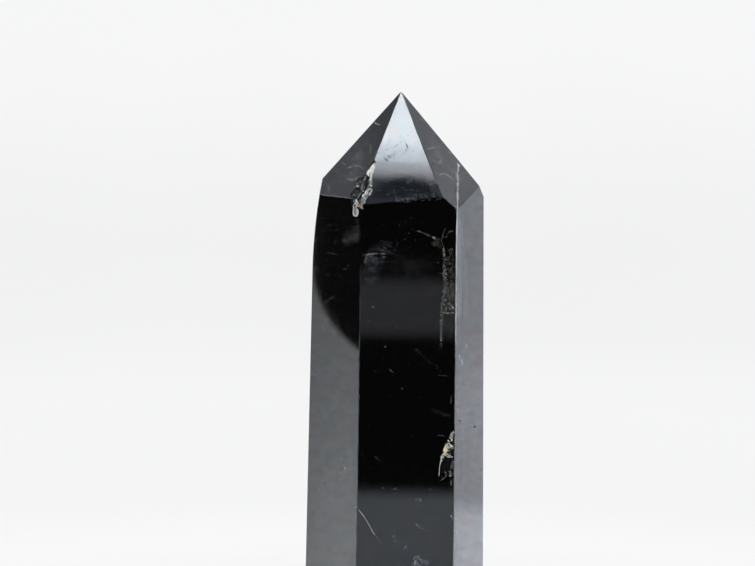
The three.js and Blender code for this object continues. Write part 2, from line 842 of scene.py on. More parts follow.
@dataclass
class CrystalBody:
    """The crystal itself, ground face by face from a sawn blank.

    Attributes:
        faces: its ground faces.
        height: from foot to tip.
        blank_width: how wide the block is that it is ground from.
        blank_spare: how much higher than the crystal the block is.
        foot_chamfer: how wide the foot's edge is broken.
        eased_azimuth: where the left corner looks, which is ground away towards the tip.
        eased_reach: how far from the axis this starts.
        eased_height: how high up it starts.
        eased_steps: how many planes it takes.
        eased_lean: how much the first of them leans in, and how much more the last, in degrees.
        eased_bend: above 1, the leaning comes on late.
        eased_rise: how high the first one's strip is, and how much lower the last one's.
        arris: how wide the blunted edges between faces are.
        blunt_from: the smallest angle between faces whose edge is blunted, in degrees.
        touching: how near to a cut a point counts as on it.
        merged: how near to each other points are merged, as ground, as blunted and as chipped.
        sharp_from: the smallest angle between faces whose edge stays sharp, in degrees.
        chip_from: how deep under the ground faces a face belongs to a chip.
        flat_from: the smallest area of a face that is shaded flat.
        seeds: how far apart the scoops' seeds are.
        skin: its finished surface, once it is built.
    """

    faces: dict[Face, Facet]
    height: float
    blank_width: float = 34.0
    blank_spare: float = 6.0
    foot_chamfer: float = 0.4
    eased_azimuth: float = -95.0
    eased_reach: float = 11.72
    eased_height: float = 48.3
    eased_steps: int = 9
    eased_lean: tuple[float, float] = (2.2, 9.6)
    eased_bend: float = 1.15
    eased_rise: tuple[float, float] = (1.75, 0.55)
    arris: float = 0.13
    blunt_from: float = 12.0
    touching: float = 0.0002
    merged: tuple[float, float, float] = (0.004, 0.002, 0.0005)
    sharp_from: float = 38.0
    chip_from: float = 0.004
    flat_from: float = 30.0
    seeds: float = 3.7
    skin: Skin | None = None

    def _cut(self, shape: bmesh.types.BMesh, point: Vector, normal: Vector) -> None:
        """Grinds away all that lies beyond one plane, and closes the cut.

        Args:
            shape: what is ground.
            point: a point on the plane.
            normal: the way out of the shape.
        """
        everything = [*shape.verts, *shape.edges, *shape.faces]
        bmesh.ops.bisect_plane(
            shape,
            geom=everything,
            dist=self.touching,
            plane_co=point,
            plane_no=normal,
            clear_outer=True,
        )
        rim = [edge for edge in shape.edges if edge.is_boundary]
        bmesh.ops.holes_fill(shape, edges=rim, sides=0)

    def _eased(self) -> list[Facet]:
        """Works out the planes that round the left corner off, each leaning in more.

        Returns:
            The planes, from the lowest up.
        """
        facets = []
        reach, height = self.eased_reach, self.eased_height
        for step in range(self.eased_steps):
            part = step / (self.eased_steps - 1)
            lean = self.eased_lean[0] + self.eased_lean[1] * part**self.eased_bend
            facets.append(Facet(self.eased_azimuth, lean, reach, height))
            rise = self.eased_rise[0] - self.eased_rise[1] * part
            reach -= rise * math.tan(math.radians(lean))
            height += rise
        return facets

    def _blunt(self, shape: bmesh.types.BMesh) -> None:
        """Takes a narrow flat off every edge between two faces.

        Args:
            shape: what is blunted.
        """
        shape.normal_update()
        planes = []
        for edge in shape.edges:
            angle = edge.calc_face_angle(0.0)
            if math.degrees(angle) > self.blunt_from:
                middle = sum((face.normal for face in edge.link_faces), Vector()).normalized()
                sunk = edge.verts[0].co - middle * (self.arris / 2.0 * math.tan(angle / 2.0))
                planes.append((sunk, middle))
        for point, normal in planes:
            self._cut(shape, point, normal)

    def _ground(self) -> bmesh.types.BMesh:
        """Builds the ground crystal, before any damage.

        Returns:
            A closed shape in millimetres.
        """
        shape = bmesh.new()
        blank_height = self.height + self.blank_spare
        blank = Vector((self.blank_width, self.blank_width, blank_height))
        bmesh.ops.create_cube(shape, size=1.0)
        bmesh.ops.scale(shape, vec=blank, verts=shape.verts)
        bmesh.ops.translate(shape, vec=Vector((0.0, 0.0, blank_height / 2.0)), verts=shape.verts)
        for facet in [*self.faces.values(), *self._eased()]:
            self._cut(shape, facet.origin, facet.normal)
            if facet.height == 0.0:
                foot = Facet(facet.azimuth, -45.0, facet.reach - self.foot_chamfer)
                self._cut(shape, foot.origin, foot.normal)
        self._cut(shape, Vector((0.0, 0.0, self.height)), Vector((0.0, 0.0, 1.0)))
        bmesh.ops.remove_doubles(shape, verts=shape.verts, dist=self.merged[0])
        self._blunt(shape)
        bmesh.ops.remove_doubles(shape, verts=shape.verts, dist=self.merged[1])
        bmesh.ops.recalc_face_normals(shape, faces=shape.faces)
        return shape

    def _chipped(self, ground: bmesh.types.BMesh) -> bmesh.types.BMesh:
        """Breaks the chips out of the ground crystal.

        Args:
            ground: the ground crystal, which is freed.

        Returns:
            A closed shape in millimetres.
        """
        blank = new_object("ground", ground)
        cutters = []
        for number, scoop in enumerate([*TIP_EDGE_CHIP, *SIDE_EDGE_CHIP]):
            cutters.append(new_object("scoop", scoop.shape(self.seeds * number)))
            hollow = blank.modifiers.new("chip", "BOOLEAN")
            hollow.operation = "DIFFERENCE"
            hollow.solver = "EXACT"
            hollow.object = cutters[-1]
        depsgraph = bpy.context.evaluated_depsgraph_get()
        mesh = bpy.data.meshes.new_from_object(blank.evaluated_get(depsgraph))
        chipped = bmesh.new()
        chipped.from_mesh(mesh)
        for spare in [blank, *cutters]:
            bpy.data.objects.remove(spare)
        bpy.data.meshes.remove(mesh)
        bmesh.ops.remove_doubles(chipped, verts=chipped.verts, dist=self.merged[2])
        return chipped

    def _shade(self, shape: bmesh.types.BMesh, unbroken: BVHTree) -> None:
        """Marks the fresh breaks, and sets which faces are smooth and which edges sharp.

        Args:
            shape: the chipped crystal.
            unbroken: its surface before the chips.
        """
        fresh = shape.faces.layers.float.new(FRESH)
        for face in shape.faces:
            depth = unbroken.find_nearest(face.calc_center_median())[3]
            face.tag = depth > self.chip_from
            face.smooth = face.tag or face.calc_area() < self.flat_from
            face[fresh] = float(face.tag)
        for edge in shape.edges:
            gentle = math.degrees(edge.calc_face_angle(0.0)) < self.sharp_from
            edge.smooth = gentle and len({face.tag for face in edge.link_faces}) == 1

    def build(self, glass: bpy.types.Material) -> bpy.types.Object:
        """Builds the crystal with its chips.

        Args:
            glass: what it is made of.

        Returns:
            The piece.
        """
        ground = self._ground()
        unbroken = BVHTree.FromBMesh(ground)
        finished = self._chipped(ground)
        self._shade(finished, unbroken)
        self.skin = Skin(finished, self.faces)
        piece = finish_piece("morion_point", finished, glass)
        weights = piece.modifiers.new("face_weights", "WEIGHTED_NORMAL")
        weights.keep_sharp = True
        weights.weight = 100
        return piece


# ---- marks


class Tone(Enum):
    """The colours of the marks."""

    WHITE = (0.86, 0.87, 0.84)
    PALE = (0.5, 0.52, 0.54)
    DULL = (0.2, 0.21, 0.22)
    BLUISH = (0.32, 0.37, 0.48)
    GREENISH = (0.42, 0.46, 0.33)
    OLIVE = (0.2, 0.18, 0.12)
    PINKISH = (0.42, 0.33, 0.29)
    SMOKE = (0.05, 0.055, 0.055)
    BLACK = (0.004, 0.004, 0.005)
    # painted shade: near black for pitted scratches where the polish round them mirrors the lamp
    GRIT = (0.05, 0.055, 0.07)
    CREAM = (0.86, 0.78, 0.5)
    AMBER = (0.62, 0.36, 0.12)
    RUST = (0.36, 0.15, 0.06)


WHITE, PALE, DULL, BLUISH, GREENISH, OLIVE, PINKISH, SMOKE, BLACK, GRIT, CREAM, AMBER, RUST = Tone

Route = tuple[tuple[float, float], ...]


def walk(route: Route, part: float) -> tuple[Vector, Vector]:
    """Follows a route that is eased through its stops.

    Args:
        route: its stops, across and up.
        part: how much of the way is behind.

    Returns:
        The place there, and the heading.
    """
    stops = [Vector(stop) for stop in route]
    place = min(max(part, 0.0), 0.9999) * (len(stops) - 1)
    leg = int(place)
    done = place - leg
    left = 1.0 - done
    start, end = stops[leg], stops[leg + 1]
    leaving = (end - stops[max(leg - 1, 0)]) * 0.5
    arriving = (stops[min(leg + 2, len(stops) - 1)] - start) * 0.5
    spot = (
        start * (left * left * (1.0 + 2.0 * done))
        + leaving * (done * left * left)
        + end * (done * done * (3.0 - 2.0 * done))
        - arriving * (done * done * left)
    )
    return spot, (end - start).normalized()


def unevenness(spot: Vector, fineness: float, seed: float) -> float:
    """Reads random hills and hollows at a place on a face.

    Args:
        spot: the place, across and up.
        fineness: how close together they are.
        seed: another number gives others.

    Returns:
        A height, from about -1 to 1.
    """
    return noise.noise(Vector((spot.x * fineness, spot.y * fineness, seed)))


def inked_shape() -> bmesh.types.BMesh:
    """Starts a shape whose points carry a colour and a strength."""
    shape = bmesh.new()
    shape.verts.layers.float_color.new(INK)
    return shape


def gathered(shapes: Iterable[bmesh.types.BMesh]) -> bmesh.types.BMesh:
    """Puts shapes together as one, with every face turned outwards.

    Args:
        shapes: the shapes, which are freed.

    Returns:
        The one shape.
    """
    whole = inked_shape()
    for shape in shapes:
        part = bpy.data.meshes.new("part")
        shape.to_mesh(part)
        shape.free()
        whole.from_mesh(part)
        bpy.data.meshes.remove(part)
    bmesh.ops.recalc_face_normals(whole, faces=whole.faces)
    return whole


@dataclass(frozen=True)
class Trail:
    """A thin mark that runs along the crystal's surface: a ribbon just under it, or just on it.

    Attributes:
        spot: the face or edge that its places are measured on.
        tone: its colour.
        route: the places that it passes, across and up.
        width: how wide it is at its widest.
        strength: how solid it looks there, up to 1.
        dive: how deep its lower side dips into the crystal.
        ends: the part of its length over which each end fades.
        wander: how far it strays from its route.
        taper: how far its ends narrow, up to 1 for points.
        halo: how many times wider the fainter ribbon round it is, or 0 for none.
        fray: how many short cracks branch off it.
        halo_strength: how solid the ribbon round it looks, beside its own strength.
        halo_wander: how far that ribbon strays.
        fray_from: the first and the last part of the way that a crack branches off at.
        fray_lean: how far a crack leans away from the route, in degrees.
        fray_reach: how long it is.
        fray_width: how wide it is, beside the trail's own width.
        fray_strength: how solid it looks, beside the trail's own strength.
        fray_wander: how far it strays.
        step: how far apart the rings of the mesh are.
        rings: the fewest and the most of them.
        broad: the width from which a ring has twice as many points.
        bends: how close together its bends are.
        swell: how unevenly wide it is.
        swells: how close together its wider places are.
        edge_fade: how much fainter its edges are than its middle.
    """

    spot: Spot
    tone: Tone
    route: Route
    width: float = 0.12
    strength: float = 0.6
    dive: float = 0.0
    ends: float = 0.25
    wander: float = 0.08
    taper: float = 0.0
    halo: float = 0.0
    fray: int = 0

    halo_strength: ClassVar[float] = 0.35
    halo_wander: ClassVar[float] = 0.25
    fray_from: ClassVar[tuple[float, float]] = (0.04, 0.96)
    fray_lean: ClassVar[tuple[float, float]] = (20.0, 80.0)
    fray_reach: ClassVar[tuple[float, float]] = (0.2, 0.75)
    fray_width: ClassVar[tuple[float, float]] = (0.5, 0.9)
    fray_strength: ClassVar[tuple[float, float]] = (0.25, 0.9)
    fray_wander: ClassVar[float] = 0.03
    step: ClassVar[float] = 0.1
    rings: ClassVar[tuple[int, int]] = (6, 64)
    broad: ClassVar[float] = 0.8
    bends: ClassVar[float] = 1.9
    swell: ClassVar[float] = 0.8
    swells: ClassVar[float] = 1.3
    edge_fade: ClassVar[float] = 0.9

    def _crack(self, dice: random.Random) -> Trail:
        """Works out one short crack that branches off it.

        Args:
            dice: where its place and size come from.

        Returns:
            The crack.
        """
        start, heading = walk(self.route, dice.uniform(*self.fray_from))
        lean = dice.choice((-1.0, 1.0)) * math.radians(dice.uniform(*self.fray_lean))
        end = start + Matrix.Rotation(lean, 2) @ heading * dice.uniform(*self.fray_reach)
        return replace(
            self,
            route=(tuple(start), tuple(end)),
            width=self.width * dice.uniform(*self.fray_width),
            strength=self.strength * dice.uniform(*self.fray_strength),
            ends=0.5,
            wander=self.fray_wander,
        )

    def branches(self, dice: random.Random) -> list[Trail]:
        """Works out the fainter ribbon round it and the short cracks that branch off it.

        Args:
            dice: where the cracks' places and sizes come from.

        Returns:
            The ribbon, if it has one, and the cracks.
        """
        found = []
        if self.halo:
            width, strength = self.width * self.halo, self.strength * self.halo_strength
            found.append(replace(self, width=width, strength=strength, wander=self.halo_wander))
        return found + [self._crack(dice) for _branch in range(self.fray)]

    def shape(self, skin: Skin, sunk: float, thickness: float) -> bmesh.types.BMesh:
        """Builds the ribbon: a ball is drawn out along the route, and pressed flat.

        Args:
            skin: the surface that it follows.
            sunk: how far under the surface its middle is.
            thickness: how thick it is.

        Returns:
            The ribbon, closed all round.
        """
        shape = inked_shape()
        ink = shape.verts.layers.float_color[INK]
        legs = zip(self.route, self.route[1:])
        length = sum((Vector(end) - Vector(start)).length for start, end in legs)
        fewest, most = self.rings
        rings = max(fewest, min(most, round(length / self.step)))
        points = 8 if self.width < self.broad else 16
        bmesh.ops.create_uvsphere(shape, u_segments=points, v_segments=rings, radius=1.0)
        for vertex in shape.verts:
            part = math.acos(min(max(-vertex.co.z, -1.0), 1.0)) / math.pi
            ring = vertex.co.xy.normalized() if vertex.co.xy.length > 1e-5 else Vector((0.0, 0.0))
            spot, heading = walk(self.route, part)
            stray = unevenness(spot, self.bends, 3.0) * self.wander
            swell = 1.0 + self.swell * unevenness(spot, self.swells, 8.0)
            slim = 1.0 - self.taper * (2.0 * part - 1.0) ** 2
            reach = stray + ring.x * 0.5 * self.width * swell * slim
            place = spot + Vector((-heading.y, heading.x)) * reach
            depth = sunk - ring.y * 0.5 * thickness
            dive = self.dive * (0.5 - 0.5 * ring.x)
            vertex.co = skin.place(self.spot, place.x, place.y, depth, dive)
            end = 1.0 if self.ends <= 0.0 else min(1.0, min(part, 1.0 - part) / self.ends)
            fade = 1.0 - self.edge_fade * ring.x**2
            vertex[ink] = (*self.tone.value, self.strength * end * fade)
        return shape


@dataclass(frozen=True)
class Rubble:
    """Small broken grains or specks, strewn along the crystal's surface.

    Attributes:
        spot: the face or edge that its places are measured on.
        tones: the colours that its grains are drawn from.
        route: the places that it passes, across and up.
        width: how wide it is half way along. It comes to a point at each end.
        count: how many grains it has.
        sizes: the smallest and the largest, half across.
        flat: how thick a grain is beside its length.
        narrow: how wide a grain is beside its length.
        lumpy: how unevenly a grain is rounded.
        lumps: how close together its lumps are.
        variety: how unlike the lumps of grains of different sizes are.
        coarse: the size from which a grain has a finer mesh.
    """

    spot: Spot
    tones: tuple[Tone, ...]
    route: Route
    width: float
    count: int
    sizes: tuple[float, float] = (0.02, 0.045)
    flat: float = 0.6

    narrow: ClassVar[tuple[float, float]] = (0.5, 0.9)
    lumpy: ClassVar[float] = 0.8
    lumps: ClassVar[float] = 1.7
    variety: ClassVar[float] = 90.0
    coarse: ClassVar[float] = 0.09

    def shape(self, skin: Skin, sunk: float, dice: random.Random) -> bmesh.types.BMesh:
        """Strews the grains.

        Args:
            skin: the surface that they lie on.
            sunk: how far under the surface their middles are.
            dice: where their places come from.

        Returns:
            The grains.
        """
        shape = inked_shape()
        ink = shape.verts.layers.float_color[INK]
        for number in range(self.count):
            part, side = dice.random(), dice.uniform(-1.0, 1.0)
            spot, heading = walk(self.route, part)
            breadth = 0.5 * self.width * math.sqrt(1.0 - (2.0 * part - 1.0) ** 2)
            spot += Vector((-heading.y, heading.x)) * side * breadth
            size = dice.uniform(*self.sizes)
            turn = Euler([dice.uniform(0.0, math.tau) for _axis in range(3)]).to_matrix()
            stretch = Vector((1.0, dice.uniform(*self.narrow), self.flat)) * size
            tone = dice.choice(self.tones)
            middle = skin.place(self.spot, spot.x, spot.y, sunk)
            fineness = 2 if size > self.coarse else 1
            grain = bmesh.ops.create_icosphere(shape, subdivisions=fineness, radius=1.0)
            seed = Vector((number, size * self.variety, 0.0))
            for vertex in grain["verts"]:
                lump = noise.noise(vertex.co * self.lumps + seed)
                vertex.co = middle + turn @ (vertex.co * stretch * (1.0 + self.lumpy * lump))
                vertex[ink] = (*tone.value, 1.0)
        return shape


@dataclass
class HealedCracks:
    """The veils that healed cracks leave just inside the crystal's faces.

    Attributes:
        skin: the crystal's surface.
        sunk: how far under the surface they start.
        thickness: how thick they are.
        seed: where their random branches start.
    """

    skin: Skin
    sunk: float = 0.02
    thickness: float = 0.004
    seed: int = 3

    @staticmethod
    def _tip() -> list[Trail]:
        """The veils in the tip's faces.

        Returns:
            The trails.
        """
        left, right = Face.TIP_FRONT_LEFT, Face.TIP_FRONT_RIGHT
        upper = ((-1.36, -13.57), (-0.88, -13.42), (0.24, -13.31), (1.26, -13.53), (2.05, -14.0))
        lower = ((-1.19, -14.79), (0.63, -15.65), (1.37, -15.86), (2.02, -15.37), (2.2, -15.0))
        lens_top = ((-1.67, -10.43), (-0.9, -10.1), (-0.09, -9.88), (1.48, -9.66))
        lens_foot = ((-2.0, -11.82), (-1.22, -12.44), (-0.4, -12.3), (0.43, -11.8))
        low = ((-3.01, -14.37), (-1.91, -14.57), (-0.81, -14.37), (-0.02, -14.86), (0.37, -15.56))
        return [
            Trail(left, WHITE, ((-2.0, -5.24), (-0.9, -5.84), (0.1, -6.13)), 0.2, 0.6, fray=3),
            Trail(left, PALE, ((0.2, -9.11), (1.0, -10.4), (1.8, -11.49)), 0.3, 0.5, 0.2),
            Trail(left, PALE, ((-1.6, -10.8), (-0.6, -11.89)), 0.3, 0.45, 0.2),
            Trail(left, WHITE, upper, 0.16, 0.42, halo=2.5, fray=5),
            Trail(left, WHITE, ((-1.2, -13.5), (-0.6, -13.4)), 0.22, 0.7),
            Trail(left, WHITE, lower, 0.18, 0.5, halo=2.5, fray=5),
            Trail(left, WHITE, ((0.5, -15.5), (1.2, -15.68)), 0.3, 0.9),
            Trail(left, PALE, ((-3.6, -12.38), (-2.0, -12.98)), 0.25, 0.6),
            Trail(left, GREENISH, ((-3.4, -16.35), (-2.3, -17.54)), 0.4, 0.5, 0.2),
            Trail(left, PALE, ((-1.8, -10.4), (0.2, -12.88), (0.6, -16.35)), 2.2, 0.12),
            Trail(left, PALE, ((2.6, -10.0), (2.7, -13.38)), 0.5, 0.25, 0.2),
            Trail(right, PALE, lens_top, 0.2, 0.8, halo=2.2, fray=4),
            Trail(right, GREENISH, lens_foot, 0.28, 0.7, halo=1.8, fray=3),
            Trail(right, GREENISH, ((-0.76, -11.39), (0.84, -11.0)), 1.2, 0.16),
            Trail(right, PALE, low, 0.24, 0.8, fray=4),
            Trail(right, GREENISH, ((0.84, -4.65), (1.33, -5.34)), 0.5, 1.0, 0.1),
            Trail(right, GREENISH, ((2.65, -10.4), (3.74, -10.8)), 0.34, 0.9),
            Trail(right, GREENISH, ((3.23, -11.99), (3.41, -12.98)), 0.36, 0.8),
            Trail(right, PALE, ((1.01, -12.98), (2.36, -16.35)), 1.6, 0.12),
        ]

    @staticmethod
    def _front_right_crack() -> list[Trail]:
        """The crack that branches down the right of the front face, and the stain beside it.

        Returns:
            The trails.
        """
        front = Face.FRONT
        reach = ((0.7, 53.2), (2.2, 52.7), (3.0, 52.3), (3.9, 52.1))
        shoulder = ((3.8, 52.2), (4.3, 50.8), (4.4, 49.2))
        trunk = ((4.4, 49.4), (4.3, 47.6), (4.6, 46.3), (4.3, 44.3), (4.2, 43.5))
        foot = ((4.2, 42.8), (4.0, 41.5), (4.0, 39.1), (3.9, 37.9))
        bulb = ((4.0, 43.1), (4.2, 43.8), (4.6, 43.5), (4.6, 42.9), (4.2, 42.7), (4.0, 43.1))
        return [
            Trail(front, PALE, reach, 0.12, 0.24, wander=0.16, halo=3.0, fray=8),
            Trail(front, WHITE, ((2.78, 52.42), (3.05, 52.25)), 0.26, 1.0, 0.0, 0.0),
            Trail(front, OLIVE, ((2.6, 51.7), (3.2, 51.5), (3.9, 51.1)), 0.5, 0.35, fray=8),
            Trail(front, PALE, shoulder, 0.07, 0.36, wander=0.22, halo=3.6, fray=14),
            Trail(front, PALE, trunk, 0.08, 0.36, 0.05, 0.12, 0.3, halo=4.4, fray=44),
            Trail(front, PALE, foot, 0.13, 0.3, wander=0.26, halo=3.6, fray=30),
            Trail(front, PALE, ((3.9, 52.1), (4.5, 53.9)), 0.16, 0.35, fray=3),
            Trail(front, PALE, ((4.3, 52.3), (5.0, 53.1), (5.5, 53.2)), 0.16, 0.3, fray=2),
            Trail(front, PALE, ((4.4, 47.7), (3.7, 47.8)), 0.2, 0.35),
            Trail(front, OLIVE, ((4.7, 51.0), (5.1, 49.8), (5.0, 48.6)), 0.3, 0.22, wander=0.3, fray=9),
            Trail(front, OLIVE, ((5.6, 50.4), (5.4, 49.4)), 0.3, 0.2, wander=0.3, fray=4),
            Trail(front, OLIVE, ((4.9, 48.4), (5.3, 47.9), (5.7, 47.2)), 0.5, 0.6, fray=9),
            Trail(front, OLIVE, ((5.5, 46.8), (5.2, 45.9), (5.4, 45.2)), 0.6, 0.45, wander=0.3, fray=9),
            Trail(front, OLIVE, ((4.8, 45.4), (5.2, 44.8), (5.8, 44.3)), 0.5, 0.6, fray=9),
            Trail(front, OLIVE, ((4.6, 46.4), (4.8, 45.2), (5.2, 44.2)), 0.5, 0.4, wander=0.3, fray=6),
            Trail(front, OLIVE, ((4.8, 41.9), (5.3, 40.4), (5.1, 39.0)), 0.6, 0.12, wander=0.3, fray=8),
            Trail(front, PINKISH, ((4.8, 44.0), (5.4, 43.6), (5.8, 43.1)), 0.4, 0.7),
            Trail(front, PINKISH, ((5.0, 43.3), (5.7, 42.9)), 0.3, 0.5),
            Trail(front, WHITE, ((5.4, 43.5), (5.7, 43.2)), 0.26, 1.0),
            Trail(front, WHITE, ((4.5, 42.65), (5.2, 42.62), (5.85, 42.75)), 0.17, 0.8),
            Trail(front, GREENISH, bulb, 0.2, 0.95, 0.0, 0.0, fray=6),
            Trail(front, PALE, ((5.3, 30.8), (5.55, 32.0)), 0.14, 0.45),
        ]

    @staticmethod
    def _front_left_veil() -> list[Trail]:
        """The bright veil at the left of the front face, and the fine lines below it.

        Returns:
            The trails.
        """
        front = Face.FRONT
        sheet = ((-6.65, 50.0), (-5.4, 50.1), (-3.4, 50.3), (-1.5, 49.9))
        return [
            Trail(front, BLUISH, sheet, 0.08, 0.26, halo=3.4, fray=4),
            Trail(front, WHITE, ((-5.9, 50.05), (-5.0, 50.12), (-4.4, 50.2)), 0.06, 0.12),
            Trail(front, BLUISH, ((-6.6, 49.7), (-4.8, 49.5), (-2.6, 49.6)), 1.0, 0.06, ends=0.5),
            Trail(front, BLUISH, ((-6.6, 49.3), (-4.6, 48.7), (-2.8, 48.9)), 1.9, 0.05, ends=0.5),
            Trail(front, BLUISH, ((-6.7, 48.6), (-5.4, 48.0), (-3.6, 48.2)), 2.1, 0.05, ends=0.5),
            Trail(front, DULL, ((-6.7, 47.9), (-5.6, 47.3), (-4.0, 47.5)), 2.3, 0.06, ends=0.5),
            Trail(front, BLUISH, ((-5.4, 50.0), (-5.0, 48.4), (-5.3, 46.2)), 2.2, 0.03, ends=0.5),
            Trail(front, DULL, ((-3.6, 49.4), (0.0, 48.7), (3.8, 48.8)), 3.4, 0.09, ends=0.4),
            Trail(front, WHITE, ((-3.1, 50.3), (-2.4, 50.2)), 0.1, 0.45),
            Trail(front, BLUISH, ((-6.0, 50.4), (-4.0, 50.7), (-1.8, 50.3)), 0.9, 0.14, ends=0.4),
            Trail(front, BLUISH, ((-5.4, 50.8), (-3.4, 51.1), (-1.8, 50.7)), 1.5, 0.06, ends=0.4),
            Trail(front, PALE, ((0.6, 38.0), (2.3, 36.5), (4.2, 35.1)), 0.3, 0.045),
            Trail(front, PALE, ((0.75, 37.95), (1.35, 37.35)), 0.32, 0.13),
            Trail(front, PALE, ((2.42, 30.35), (4.0, 29.8), (6.6, 28.8)), 0.6, 0.035),
            Trail(front, PALE, ((1.3, 11.9), (1.9, 10.9)), 0.12, 0.3, fray=3),
        ]

    @staticmethod
    def _sides() -> list[Trail]:
        """The fainter veils in the long side faces, front and back.

        Returns:
            The trails.
        """
        left, right = Face.FRONT_LEFT, Face.FRONT_RIGHT
        back, back_left, back_right = Face.BACK, Face.BACK_LEFT, Face.BACK_RIGHT
        return [
            Trail(left, PALE, ((2.3, 51.9), (4.2, 52.4), (6.3, 53.2)), 1.9, 0.09, ends=0.3),
            Trail(left, PALE, ((3.8, 52.1), (5.0, 52.1), (6.3, 52.1)), 1.1, 0.08, ends=0.3),
            Trail(left, PALE, ((5.3, 54.8), (5.5, 53.6), (5.5, 51.8)), 1.0, 0.1, ends=0.4),
            Trail(left, PALE, ((2.0, 51.9), (3.5, 51.8)), 0.5, 0.16, ends=0.4),
            Trail(left, PALE, ((3.4, 23.0), (4.9, 22.1)), 0.12, 0.35),
            Trail(left, PALE, ((-1.6, 50.4), (1.4, 50.0)), 0.16, 0.14),
            Trail(left, BLUISH, ((-1.3, 43.8), (1.0, 44.6)), 0.3, 0.14),
            Trail(left, BLUISH, ((4.6, 26.0), (5.4, 20.0)), 0.7, 0.1),
            Trail(right, PALE, ((-2.7, 38.9), (-2.7, 37.7)), 0.12, 0.45),
            Trail(right, PALE, ((-3.4, 37.0), (-3.5, 36.0)), 0.12, 0.45),
            Trail(right, BLUISH, ((-4.6, 52.0), (-2.8, 46.0), (-3.4, 40.0)), 2.0, 0.14),
            Trail(right, BLUISH, ((-4.0, 30.0), (-3.0, 24.0), (-4.0, 16.0)), 1.8, 0.12),
            Trail(back_right, PALE, ((-2.0, 48.0), (0.5, 45.5), (1.2, 41.0)), 0.2, 0.4, 0.4, fray=8),
            Trail(back_right, BLUISH, ((1.5, 22.0), (-1.5, 26.0)), 1.4, 0.16, 0.5),
            Trail(back, PALE, ((-3.0, 40.0), (-1.0, 41.2), (2.5, 39.8)), 0.2, 0.45, 0.3, fray=8),
            Trail(back, BLUISH, ((-2.0, 39.0), (2.0, 37.5)), 1.6, 0.16, 0.5),
            Trail(back, PALE, ((3.2, 20.5), (4.4, 16.0)), 0.12, 0.3),
            Trail(back_left, PALE, ((-2.2, 33.0), (0.4, 30.6), (1.0, 27.5)), 0.2, 0.4, fray=6),
            Trail(Face.TIP_BACK, PALE, ((-2.5, -11.5), (0.0, -10.8), (2.4, -12.0)), 0.2, 0.5, fray=5),
            Trail(Face.TIP_RIGHT, PALE, ((-1.5, -9.5), (0.6, -10.6), (1.6, -13.0)), 0.2, 0.45, fray=4),
            Trail(Face.TIP_LEFT, PALE, ((-1.2, -12.2), (1.4, -13.6)), 0.2, 0.45, fray=4),
        ]

    def build(self) -> bpy.types.Object:
        """Builds the veils as one piece.

        Returns:
            The piece.
        """
        dice = random.Random(self.seed)
        trails = [
            *self._tip(),
            *self._front_right_crack(),
            *self._front_left_veil(),
            *self._sides(),
        ]
        ribbons = [ribbon for trail in trails for ribbon in [trail, *trail.branches(dice)]]
        shape = gathered(ribbon.shape(self.skin, self.sunk, self.thickness) for ribbon in ribbons)
        return finish_piece("healed_cracks", shape, HealedCrack().material())


